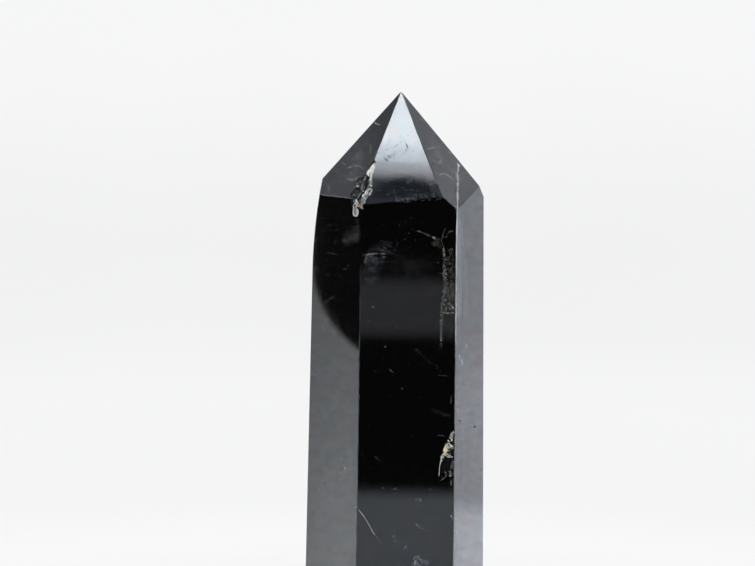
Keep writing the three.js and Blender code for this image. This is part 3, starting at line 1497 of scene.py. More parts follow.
@dataclass
class ScratchesAndEdgeGlow:
    """Scratches, rubbed spots and bruised edges, a hair proud of the polish, with a painted glow beside
    the front right edge.

    Attributes:
        skin: the crystal's surface.
        proud: how far they stand off it.
        thickness: how thick they are.
    """

    skin: Skin
    proud: float = 0.006
    thickness: float = 0.003

    @staticmethod
    def _bruises_and_painted_glow() -> list[Trail]:
        """The pale bruised lines along the edges, partly painted highlight where the edges catch the
        light, and the painted glow on the front right face beside its edge.

        Returns:
            The trails.
        """
        crease, front_right, front_left = Arris.TIP_CREASE, Arris.FRONT_RIGHT, Arris.FRONT_LEFT
        ridge = ((0.1, 9.8), (-0.1, 7.0), (0.1, 3.0), (0.1, -0.2))
        return [
            Trail(crease, PALE, ridge, 0.3, 0.8, ends=0.08),
            Trail(crease, PINKISH, ((0.1, 9.6), (0.0, 5.0), (0.1, 0.2)), 0.7, 0.18, ends=0.1),
            Trail(front_right, WHITE, ((0.1, 56.2), (0.12, 54.0), (0.1, 50.0)), 0.22, 0.6),
            # painted glow: wide faint pale ribbons that lighten the front right face beside its edge
            Trail(front_right, PALE, ((0.7, 56.2), (0.62, 50.0), (0.6, 40.0)), 0.9, 0.42, ends=0.1),
            Trail(front_right, PALE, ((1.2, 56.0), (1.2, 50.0), (1.1, 41.0)), 1.8, 0.2, ends=0.2),
            Trail(front_right, PALE, ((0.5, 42.0), (0.5, 20.0), (0.5, 4.0)), 0.9, 0.1, ends=0.2),
            Trail(front_right, WHITE, ((0.1, 55.6), (0.04, 50.0), (0.08, 38.0)), 0.22, 0.6, ends=0.1),
            Trail(front_right, PALE, ((0.14, 40.0), (0.14, 20.0), (0.1, 4.0)), 0.18, 0.34, ends=0.1),
            Trail(front_left, PALE, ((0.0, 50.0), (0.0, 30.0), (0.0, 4.0)), 0.14, 0.08),
        ]

    @staticmethod
    def _front() -> list[Trail]:
        """The fine scratches and rubbed spots of the front face.

        Returns:
            The trails.
        """
        front = Face.FRONT
        stops = ((-6.95, 17.85), (-6.0, 16.72), (-5.34, 15.82), (-4.74, 14.66), (-4.28, 14.02))
        short = [
            (PALE, ((-4.4, 14.2), (-3.49, 13.11), (-2.83, 12.34)), 0.07, 0.22),
            (PALE, ((-1.75, 14.95), (-1.3, 15.7)), 0.12, 0.24),
            (PALE, ((0.77, 15.53), (2.4, 14.5)), 0.25, 0.12),
            (PALE, ((-0.55, 12.2), (-0.1, 12.6)), 0.3, 0.2),
            (BLUISH, ((1.2, 11.4), (1.5, 11.0), (1.95, 10.6)), 0.14, 0.3),
            (WHITE, ((0.8, 10.05), (1.0, 10.5), (1.15, 10.8)), 0.16, 0.3),
            (BLUISH, ((1.9, 10.5), (2.9, 10.5)), 0.7, 0.14),
            (PALE, ((-3.5, 20.05), (-3.2, 20.05)), 0.16, 0.26),
            (PALE, ((-2.1, 19.85), (-1.5, 20.0)), 0.22, 0.22),
            (PALE, ((2.8, 19.95), (3.0, 19.65)), 0.2, 0.4),
            (PALE, ((-4.66, 24.16), (-3.48, 23.39)), 0.09, 0.13),
            (WHITE, ((-2.72, 35.35), (-2.06, 34.84)), 0.09, 0.34),
            (PALE, ((3.55, 34.62), (5.52, 34.5)), 0.1, 0.06),
            (PALE, ((3.6, 26.85), (5.0, 26.7)), 0.12, 0.05),
        ]
        long = Trail(front, WHITE, stops, 0.07, 0.62, ends=0.08, wander=0.03)
        return [long, *(Trail(front, *row) for row in short)]

    @staticmethod
    def _flanks() -> list[Trail]:
        """The fine scratches of the faces left and right of the front.

        Returns:
            The trails.
        """
        left, right = Face.FRONT_LEFT, Face.FRONT_RIGHT
        return [
            Trail(left, WHITE, ((3.4, 22.9), (4.06, 22.1)), 0.13, 0.8),
            Trail(left, PALE, ((2.7, 23.7), (3.4, 22.95)), 0.1, 0.4),
            Trail(left, PALE, ((3.1, 23.9), (3.6, 23.2)), 0.1, 0.3),
            Trail(left, PALE, ((2.8, 21.9), (3.1, 21.6)), 0.2, 0.35),
            Trail(left, PALE, ((5.2, 18.1), (5.95, 17.4)), 0.14, 0.5),
            Trail(left, PALE, ((-5.4, 34.1), (-1.5, 34.3)), 0.5, 0.07),
            Trail(right, PALE, ((-2.6, 38.7), (-2.9, 37.6)), 0.34, 0.65),
            Trail(right, PALE, ((-1.6, 38.8), (-1.5, 37.8)), 0.34, 0.5),
            Trail(right, WHITE, ((-5.2, 37.3), (-4.9, 36.3)), 0.36, 0.5),
            Trail(right, WHITE, ((-4.3, 36.8), (-4.0, 35.7)), 0.36, 0.65),
            Trail(right, GREENISH, ((-3.4, 33.8), (-3.2, 33.2)), 0.26, 0.6),
            Trail(right, CREAM, ((1.6, 31.0), (2.0, 30.6)), 0.6, 0.3),
            Trail(right, BLUISH, ((-5.0, 28.8), (-4.5, 28.3)), 0.6, 0.3),
        ]

    def build(self) -> bpy.types.Object:
        """Builds the scratches and the painted glow as one piece.

        Returns:
            The piece.
        """
        trails = [*self._bruises_and_painted_glow(), *self._front(), *self._flanks()]
        shape = gathered(trail.shape(self.skin, -self.proud, self.thickness) for trail in trails)
        return finish_piece("scratches_and_edge_glow", shape, ScratchAndEdgeGlow().material())


@dataclass
class BrokenQuartzAndPaintedLight:
    """The crushed quartz in the chips, with the painted light and shade laid in them, and the pits and
    nicks elsewhere, with the painted shade of the tip's pitted scratches.

    Attributes:
        skin: the crystal's surface.
        sunk: how far under the surface the middles of the pits are.
        proud: how far the splinters, with their painted light and shade, stand off the surface.
        thickness: how thick they are.
        seed: where the random places start.
    """

    skin: Skin
    sunk: float = 0.01
    proud: float = 0.015
    thickness: float = 0.02
    seed: int = 11

    @staticmethod
    def _tip_breaks_and_painted_light() -> list[Trail]:
        """The dark and pale breaks in the chip down the tip's left edge, and in its flake. Part of them
        is painted light and shade: the white fan stands in for the lamp's reflection in the chip, and
        the black bands are painted shade where its hollows face the dark.

        Returns:
            The trails.
        """
        tip, left = Arris.TIP_LEFT, Arris.FRONT_LEFT
        gap = ((0.12, 3.7), (0.12, 2.2), (-0.06, 1.35), (-0.21, 0.6), (-0.4, -0.2))
        ridge = ((-0.2, 4.1), (-0.43, 2.76), (-0.49, 1.3), (-0.58, 0.4))
        rim = ((0.8, 3.0), (1.0, 2.2), (1.15, 1.8), (1.09, 1.2), (0.85, 0.8), (0.85, -0.5))
        flake_left = ((-1.4, 56.5), (-1.48, 55.7), (-1.36, 55.15), (-1.05, 54.95))
        flake_right = ((-0.8, 56.0), (-0.66, 55.5), (-0.76, 55.15), (-1.05, 55.0))
        return [
            Trail(tip, DULL, ((0.35, 3.9), (0.6, 2.6), (0.5, 1.0)), 0.6, taper=0.6),
            Trail(tip, DULL, ((0.55, 1.6), (0.5, 0.6), (0.6, -0.6)), 0.7, taper=0.6),
            # painted shade: black bands where the chip's hollows face the dark room
            Trail(tip, BLACK, ((-0.5, 4.3), (-0.75, 3.2), (-0.95, 2.2)), 0.5, taper=0.8),
            Trail(tip, BLACK, ((-0.85, 3.1), (-1.2, 1.6), (-1.35, 0.7)), 1.0, taper=0.8),
            Trail(tip, BLACK, ((-0.6, 2.2), (-0.8, 1.0), (-0.8, -0.1)), 0.5, taper=0.5),
            Trail(tip, BLACK, ((-1.3, 1.3), (-1.1, 0.3), (-0.9, -0.6)), 0.6, taper=0.6),
            Trail(tip, BLACK, gap, 0.45, taper=0.8),
            Trail(tip, DULL, ridge, 0.13, wander=0.05, taper=0.5),
            # painted reflection: the white fan where the chip's side mirrors the lamp
            Trail(tip, WHITE, ((0.1, 6.6), (0.12, 5.8), (0.28, 4.7), (0.36, 3.4)), 0.66, taper=0.45),
            Trail(tip, WHITE, ((-0.08, 6.3), (-0.14, 5.4), (-0.24, 4.4)), 0.26, taper=0.6),
            Trail(tip, DULL, ((0.5, 4.0), (0.72, 3.3), (0.8, 2.8)), 0.26, taper=0.9),
            Trail(tip, PALE, rim, 0.12, wander=0.04, taper=0.6),
            Trail(left, DULL, ((-1.1, 56.3), (-1.12, 55.8), (-1.1, 55.1)), 0.66, taper=0.5),
            Trail(left, PALE, flake_right, 0.34, wander=0.06, taper=0.8),
            Trail(left, WHITE, flake_left, 0.11, wander=0.06, taper=0.8),
            Trail(left, SMOKE, ((-1.1, 56.1), (-1.16, 55.6)), 0.16, taper=0.9),
        ]

    @staticmethod
    def _side_breaks_and_painted_shade() -> list[Trail]:
        """The dark and pale breaks in the chip in the front right edge. Its black bands are painted
        shade in the chip's hollow.

        Returns:
            The trails.
        """
        edge = Arris.FRONT_RIGHT
        curve = ((-1.3, 24.2), (-1.52, 23.6), (-1.68, 22.6), (-1.73, 21.6))
        return [
            # painted shade: the black of the chip's hollow
            Trail(edge, BLACK, ((-0.7, 24.1), (-0.9, 23.2), (-0.9, 22.2)), 1.3, taper=0.5),
            Trail(edge, BLACK, ((-0.25, 26.2), (-0.3, 25.5)), 0.4, taper=0.4),
            Trail(edge, SMOKE, ((-0.16, 27.4), (-0.34, 26.3)), 0.4, taper=0.4),
            Trail(edge, WHITE, ((-0.1, 27.4), (-0.36, 27.0), (-0.44, 26.3)), 0.1, taper=0.5),
            Trail(edge, PALE, ((-0.08, 27.3), (-0.16, 26.8), (-0.26, 26.2)), 0.1, taper=0.5),
            Trail(edge, PALE, ((-0.85, 25.9), (-1.0, 25.0), (-1.0, 24.6)), 0.35, taper=0.7),
            Trail(edge, PALE, curve, 0.08, wander=0.03, taper=0.8),
            Trail(edge, SMOKE, ((-1.0, 22.3), (-0.93, 21.6), (-1.3, 21.2), (-1.6, 21.0)), 0.08),
        ]

    @staticmethod
    def _tip_chip_grains_and_painted_light() -> list[Rubble]:
        """The grains in the chip down the tip's left edge, and the flake below it. Its white grains are
        partly painted glints and the lamp's painted reflection, and its black grains partly painted
        shade.

        Returns:
            The patches.
        """
        tip, left = Arris.TIP_LEFT, Arris.FRONT_LEFT
        fine, middling, coarse = (0.045, 0.07), (0.06, 0.1), (0.08, 0.14)
        rim = ((0.8, 3.0), (1.0, 2.2), (1.15, 1.8), (1.09, 1.2), (0.85, 0.8), (0.85, -0.5))
        crumbs = (WHITE, PALE, SMOKE, DULL, GREENISH, BLACK)
        return [
            # painted reflection: white grains fill out the fan where the chip mirrors the lamp
            Rubble(tip, (WHITE, WHITE, PALE), ((0.1, 6.4), (0.3, 4.9), (0.4, 3.7)), 0.5, 18, coarse),
            Rubble(tip, (SMOKE, BLACK), ((0.0, 5.2), (0.05, 4.2)), 0.16, 6, middling),
            Rubble(tip, crumbs, ((0.4, 3.7), (0.65, 2.6), (0.6, 1.6)), 0.7, 54, coarse),
            Rubble(tip, (WHITE,), ((0.56, 2.4), (0.62, 2.0)), 0.2, 6, coarse),
            Rubble(tip, crumbs, ((0.5, 1.5), (0.6, 0.4), (0.6, -0.7)), 0.8, 80, middling),
            Rubble(tip, (WHITE,), ((0.57, 0.7), (0.82, 0.2), (0.86, -0.4)), 0.3, 9, middling),
            Rubble(tip, (WHITE, PALE, SMOKE), rim, 0.16, 30, middling),
            # partly painted shade: dark grains in the chip's black band
            Rubble(tip, (SMOKE, BLACK, DULL), ((-0.9, 2.8), (-1.2, 0.7)), 0.8, 24, middling),
            Rubble(tip, (PALE, SMOKE), ((-0.25, 4.0), (-0.45, 2.6), (-0.5, 0.6)), 0.14, 20, fine),
            Rubble(tip, (WHITE, PALE, BLACK), ((-0.55, 0.1), (-0.2, -0.7)), 0.5, 18, coarse),
            Rubble(left, (WHITE, PALE, BLACK), ((-1.35, 57.1), (-1.0, 56.6)), 0.4, 12, middling),
            Rubble(left, (WHITE, PALE), ((-1.46, 56.5), (-1.48, 55.6), (-1.1, 55.0)), 0.1, 9, fine),
            Rubble(left, (PALE, SMOKE, WHITE), ((-0.95, 56.4), (-0.85, 55.7)), 0.4, 9, middling),
        ]

    @staticmethod
    def _side_chip() -> list[Rubble]:
        """The grains in the chip in the front right edge.

        Returns:
            The patches.
        """
        fine, middling, coarse = (0.04, 0.07), (0.06, 0.1), (0.08, 0.14)
        mixed = (CREAM, WHITE, GREENISH, PALE, SMOKE)
        oval = ((-0.1, 27.3), (-0.36, 26.7), (-0.36, 26.1))
        crust = ((-1.5, 23.9), (-1.1, 24.5), (-0.8, 24.2), (-0.25, 24.05))
        curve = ((-1.25, 24.3), (-1.52, 23.6), (-1.68, 22.6), (-1.72, 21.5))
        patches = [
            ((WHITE, PALE, SMOKE), oval, 0.4, 26, middling),
            ((GREENISH, WHITE, BLACK), ((-0.7, 26.2), (-0.85, 25.5)), 0.4, 16, coarse),
            (mixed, ((-0.85, 25.8), (-1.05, 24.5)), 0.6, 34, coarse),
            ((WHITE, CREAM, BLACK), ((-0.25, 25.6), (-0.4, 25.0)), 0.36, 14, coarse),
            ((WHITE, PALE, BLACK, WHITE), crust, 0.4, 54, middling),
            ((WHITE, PALE), curve, 0.08, 18, (0.035, 0.055)),
            ((WHITE, GREENISH), ((-1.2, 24.5), (-1.52, 23.5)), 0.36, 26, middling),
            ((CREAM, CREAM, WHITE), ((-1.0, 25.5), (-1.1, 24.7)), 0.4, 16, coarse),
            ((PALE, SMOKE, BLACK), ((-0.32, 22.3), (-0.28, 20.2)), 0.34, 40, fine),
            ((WHITE,), ((-0.5, 22.3), (-0.35, 21.3)), 0.2, 4, fine),
            ((SMOKE, PALE), ((-1.1, 22.3), (-0.93, 21.6), (-1.6, 21.0)), 0.12, 9, fine),
            ((SMOKE,), ((-1.36, 22.4), (-1.4, 21.3)), 0.08, 7, fine),
        ]
        return [Rubble(Arris.FRONT_RIGHT, *row) for row in patches]

    @staticmethod
    def _pitted_scratch_shade() -> list[Rubble]:
        """The pitted scratches that show dark where the tip's front face mirrors the lamp. Their near
        black grains are painted shade, standing in for the lamp's reflection that the pits miss.

        Returns:
            The patches.
        """
        pit_shade, dull = (GRIT,), (GRIT, SMOKE)
        fine, middling, coarse = (0.05, 0.07), (0.06, 0.09), (0.08, 0.12)
        hook = ((0.3, -8.91), (0.62, -9.71), (0.58, -10.3))
        tail = ((0.5, -10.4), (0.2, -11.0), (-0.5, -11.69))
        patches = [
            (pit_shade, ((-0.95, -9.76), (-0.6, -9.46)), 0.16, 6, coarse),
            (pit_shade, ((-0.6, -9.41), (0.0, -8.91)), 0.1, 10, fine),
            (pit_shade, ((0.5, -9.41), (0.64, -10.0), (0.42, -10.6)), 0.14, 30, middling),
            (pit_shade, hook, 0.12, 22, fine),
            (pit_shade, tail, 0.14, 24, fine),
            (pit_shade, ((-2.5, -11.59), (-2.05, -12.33)), 0.24, 16, coarse),
            (pit_shade, ((-2.3, -10.4), (-2.0, -10.5)), 0.16, 4, coarse),
            (dull, ((-2.4, -11.2), (-1.7, -11.6), (-1.0, -11.9)), 0.5, 34, fine),
            (dull, ((-2.2, -12.0), (-1.5, -11.5), (-1.1, -10.9)), 0.5, 26, middling),
            (dull, ((-3.2, -10.8), (-2.8, -11.29)), 0.3, 7, fine),
            (dull, ((-1.2, -10.0), (-1.0, -11.0)), 0.5, 8, fine),
            (dull, ((1.1, -6.04), (1.2, -7.23), (0.7, -8.02)), 0.3, 9, fine),
            (dull, ((-1.7, -8.71), (-1.9, -10.0)), 0.4, 7, fine),
            (dull, ((0.0, -5.44), (0.0, -12.38)), 4.0, 24, fine),
        ]
        return [Rubble(Face.TIP_FRONT, *row, flat=0.3) for row in patches]

    @staticmethod
    def _front_pits() -> list[Rubble]:
        """The pits, specks and nicks of the front face.

        Returns:
            The patches.
        """
        fine, specks = (0.025, 0.042), (0.035, 0.06)
        trunk = ((4.2, 51.0), (4.4, 48.4), (4.5, 46.3), (4.2, 43.5), (4.0, 39.0))
        patches = [
            ((WHITE, BLUISH), ((-6.5, 49.95), (-3.4, 50.2)), 0.2, 22, (0.026, 0.04)),
            ((WHITE, PALE), ((-5.6, 50.1), (-4.4, 50.2)), 0.14, 9, (0.04, 0.06)),
            ((WHITE, BLUISH), ((-6.1, 49.8), (-4.4, 49.5)), 0.5, 9, (0.034, 0.046)),
            ((BLUISH, DULL, PALE), ((-6.0, 49.6), (-4.6, 48.5)), 1.8, 40, (0.028, 0.042)),
            ((BLUISH, DULL), ((-5.4, 48.4), (-5.2, 46.2)), 1.3, 30, (0.034, 0.05)),
            ((WHITE,), ((-3.65, 49.85), (-3.55, 49.75)), 0.06, 3, (0.04, 0.06)),
            ((BLUISH, DULL), ((-6.2, 49.3), (-3.6, 49.3)), 1.2, 26, (0.024, 0.04)),
            ((DULL, BLUISH, DULL), ((-5.0, 49.8), (-5.2, 46.6)), 2.8, 110, (0.022, 0.038)),
            ((WHITE,), ((-5.85, 49.7), (-5.75, 48.9)), 0.1, 3, (0.04, 0.055)),
            ((PALE, PINKISH, DULL, PALE), trunk, 0.6, 200, (0.034, 0.056)),
            ((PALE, DULL), ((0.8, 53.2), (2.4, 52.6), (3.6, 52.1)), 0.3, 16, (0.03, 0.045)),
            ((DULL, OLIVE), ((5.2, 51.0), (5.2, 43.0)), 1.4, 150, (0.034, 0.06)),
            ((PALE, SMOKE), ((2.7, 52.4), (3.5, 52.1)), 0.2, 6, fine),
            ((SMOKE, DULL, PALE), ((0.0, 6.0), (0.0, 55.0)), 13.0, 140),
            ((WHITE,), ((-4.95, 43.4), (-4.7, 43.15)), 0.12, 4, (0.03, 0.045)),
            ((WHITE,), ((-3.3, 38.25), (-3.2, 38.1)), 0.04, 2, (0.04, 0.055)),
            ((WHITE,), ((-1.0, 32.85), (-0.95, 32.75)), 0.02, 1, (0.045, 0.055)),
            ((WHITE, PALE), ((-1.8, 40.8), (-1.72, 40.7)), 0.02, 1, (0.035, 0.045)),
            ((PALE,), ((-2.6, 46.9), (-2.5, 46.85)), 0.04, 2, (0.03, 0.045)),
            ((PALE,), ((-5.35, 41.5), (-5.25, 41.3)), 0.04, 2, (0.03, 0.045)),
            ((WHITE, PALE), ((5.6, 16.5), (5.85, 15.95)), 0.2, 6, (0.035, 0.06)),
            ((PALE, BLUISH), ((1.0, 18.9), (1.6, 18.2)), 0.5, 9, specks),
            ((BLUISH, DULL), ((-1.9, 13.9), (-1.1, 13.0)), 0.7, 14, specks),
            ((WHITE, PALE), ((-6.9, 17.7), (-5.3, 15.7), (-4.3, 14.0)), 0.08, 18, fine),
            ((BLUISH, DULL, PALE), ((1.2, 11.3), (1.5, 10.0)), 1.3, 40, (0.03, 0.05)),
            ((BLUISH, DULL), ((0.9, 11.2), (1.9, 10.7)), 0.3, 16, specks),
            ((BLUISH, DULL), ((0.5, 10.2), (2.8, 10.3)), 0.5, 24, specks),
            ((DULL, BLUISH), ((0.3, 20.0), (0.5, 12.0)), 9.0, 90, (0.022, 0.036)),
        ]
        return [Rubble(Face.FRONT, *row) for row in patches]

    @staticmethod
    def _flank_pits() -> list[Rubble]:
        """The pits, specks and nicks of the faces left and right of the front.

        Returns:
            The patches.
        """
        left, right = Face.FRONT_LEFT, Face.FRONT_RIGHT
        return [
            Rubble(left, (BLACK, SMOKE), ((-0.55, 20.1), (-0.5, 19.85)), 0.1, 4, (0.06, 0.09)),
            Rubble(left, (SMOKE, BLACK), ((-3.1, 15.95), (-3.4, 14.8)), 0.2, 6, (0.05, 0.08)),
            Rubble(right, (SMOKE,), ((0.6, 27.5), (0.8, 27.3)), 0.4, 4, (0.07, 0.1)),
            Rubble(left, (SMOKE, DULL, PALE), ((0.0, 6.0), (0.0, 54.0)), 12.0, 110),
            Rubble(left, (WHITE, PALE), ((2.9, 48.1), (3.8, 48.7)), 0.3, 4, (0.03, 0.045)),
            Rubble(left, (PALE,), ((-0.6, 41.8), (-1.5, 40.2)), 0.7, 8, (0.03, 0.06)),
            Rubble(right, (PALE, BLUISH), ((0.0, 4.0), (0.0, 55.0)), 11.0, 160),
        ]

    @staticmethod
    def _tip_pits() -> list[Rubble]:
        """The specks of the tip's front faces, and the dusty strip along the foot of the middle one.

        Returns:
            The patches.
        """
        tip, specks = Face.TIP_FRONT, (0.035, 0.06)
        dust = (SMOKE, DULL, PALE)
        foot = ((-1.2, -18.93), (-0.2, -18.53), (0.9, -18.44), (2.4, -18.34), (4.9, -18.34))
        return [
            Rubble(Face.TIP_FRONT_LEFT, dust, ((0.0, -2.46), (0.0, -18.34)), 9.0, 50),
            Rubble(Face.TIP_FRONT_RIGHT, dust, ((0.47, -2.46), (0.24, -17.34)), 5.0, 40),
            Rubble(tip, (BLUISH, DULL, DULL), foot, 1.3, 90, (0.03, 0.055)),
            Rubble(tip, (PALE, WHITE), foot, 0.9, 12, (0.025, 0.042)),
            Rubble(tip, (DULL, BLUISH), ((-3.0, -17.74), (4.5, -17.54)), 1.8, 50, specks),
        ]

    @staticmethod
    def _edge_pits() -> list[Rubble]:
        """The nicks along the front right edge and the crease in the tip.

        Returns:
            The patches.
        """
        edge, crease = Arris.FRONT_RIGHT, Arris.TIP_CREASE
        return [
            Rubble(edge, (WHITE, PALE), ((0.15, 55.6), (0.12, 53.6)), 0.16, 16, (0.05, 0.08)),
            Rubble(edge, (WHITE, PALE), ((0.08, 56.0), (0.08, 40.0)), 0.2, 90, (0.04, 0.07)),
            Rubble(edge, (PALE,), ((0.08, 40.0), (0.08, 6.0)), 0.1, 46, (0.035, 0.06)),
            Rubble(crease, (WHITE, PALE), ((0.1, 9.8), (0.1, 0.0)), 0.24, 70, (0.045, 0.08)),
            Rubble(crease, (WHITE, PINKISH), ((0.1, 9.9), (0.0, 9.4)), 0.5, 12, (0.06, 0.1)),
            Rubble(crease, (WHITE, PINKISH, PALE), ((0.1, 9.4), (0.1, 0.2)), 0.4, 60, (0.05, 0.085)),
            Rubble(crease, (WHITE,), ((0.1, 5.8), (0.1, 5.0)), 0.3, 10, (0.05, 0.08)),
        ]

    @staticmethod
    def _back_pits() -> list[Rubble]:
        """The specks on the sides that face the back.

        Returns:
            The patches.
        """
        strips = [
            (Face.BACK_RIGHT, 5.0, 56.0, 10.0, 76),
            (Face.BACK, 6.0, 55.0, 12.0, 92),
            (Face.BACK_LEFT, 5.0, 50.0, 10.0, 74),
            (Face.TIP_RIGHT, -3.0, -15.0, 6.0, 30),
            (Face.TIP_BACK, -3.0, -15.0, 7.0, 34),
            (Face.TIP_LEFT, -3.0, -15.0, 7.0, 34),
        ]
        return [
            Rubble(face, (SMOKE, PALE), ((0.0, start), (0.0, end)), width, count)
            for face, start, end, width, count in strips
        ]

    def build(self) -> bpy.types.Object:
        """Builds the grains, with their painted light and shade, as one piece.

        Returns:
            The piece.
        """
        dice = random.Random(self.seed)
        breaks_and_painted_light = [*self._tip_breaks_and_painted_light(), *self._side_breaks_and_painted_shade()]
        chips = [*self._tip_chip_grains_and_painted_light(), *self._side_chip()]
        pits = [
            *self._pitted_scratch_shade(),
            *self._front_pits(),
            *self._flank_pits(),
            *self._tip_pits(),
            *self._edge_pits(),
            *self._back_pits(),
        ]
        shapes = [trail.shape(self.skin, -self.proud, self.thickness) for trail in breaks_and_painted_light]
        shapes += [patch.shape(self.skin, -self.proud, dice) for patch in chips]
        shapes += [patch.shape(self.skin, self.sunk, dice) for patch in pits]
        return finish_piece("crushed_quartz_and_painted_light", gathered(shapes), CrushedQuartzAndPaintedLight().material())


@dataclass
class IronStains:
    """The rusty clay caught in the two chips.

    Attributes:
        skin: the crystal's surface.
        sunk: how far under the surface the middles of its crumbs are.
        seed: where their random places start.
    """

    skin: Skin
    sunk: float = -0.015
    seed: int = 5

    def build(self) -> bpy.types.Object:
        """Builds the stains as one piece.

        Returns:
            The piece.
        """
        dice = random.Random(self.seed)
        tip, side = Arris.TIP_LEFT, Arris.FRONT_RIGHT
        coarse = (0.07, 0.12)
        patches = [
            Rubble(tip, (RUST, AMBER, PINKISH, CREAM), ((0.1, -0.5), (0.6, -1.0)), 0.6, 20, coarse),
            Rubble(tip, (CREAM, PINKISH), ((0.45, -0.85), (0.8, -1.15)), 0.3, 10, coarse),
            Rubble(side, (CREAM, CREAM, AMBER), ((-1.0, 25.4), (-1.05, 24.7)), 0.35, 16, coarse),
            Rubble(side, (PINKISH, RUST, AMBER), ((-0.5, 25.1), (-0.45, 24.6)), 0.26, 9, (0.05, 0.09)),
        ]
        shape = gathered(patch.shape(self.skin, self.sunk, dice) for patch in patches)
        return finish_piece("iron_stain", shape, IronStain().material())


# ---- studio


class Chart(Enum):
    """How a card's place in the room is measured: round the horizon, or out from overhead."""

    HORIZON = "horizon"
    OVERHEAD = "overhead"


@dataclass(frozen=True)
class Card:
    """A soft-edged patch of light or shade in the room, in degrees.

    Attributes:
        chart: how its place is measured.
        middle: its azimuth and elevation, or its lean to the right and towards the camera.
        half: half its width and half its height.
        blur: how soft its edge is, each way.
        radiance: its light.
        corner: how round its corners are.
        start_radiance: its light at the start of its fade, where it isn't even.
        fade: how high up, or how near the camera, it fades from its start to its radiance.
    """

    chart: Chart
    middle: tuple[float, float]
    half: tuple[float, float]
    blur: float
    radiance: Colour
    corner: float = 0.0
    start_radiance: Colour | None = None
    fade: tuple[float, float] = (0.0, 1.0)


def grey(level: float) -> Colour:
    """A neutral light of this brightness."""
    return (level, level, level)


def cool(level: float) -> Colour:
    """A slightly blue light of about this brightness."""
    return (0.965 * level, level, 1.1 * level)


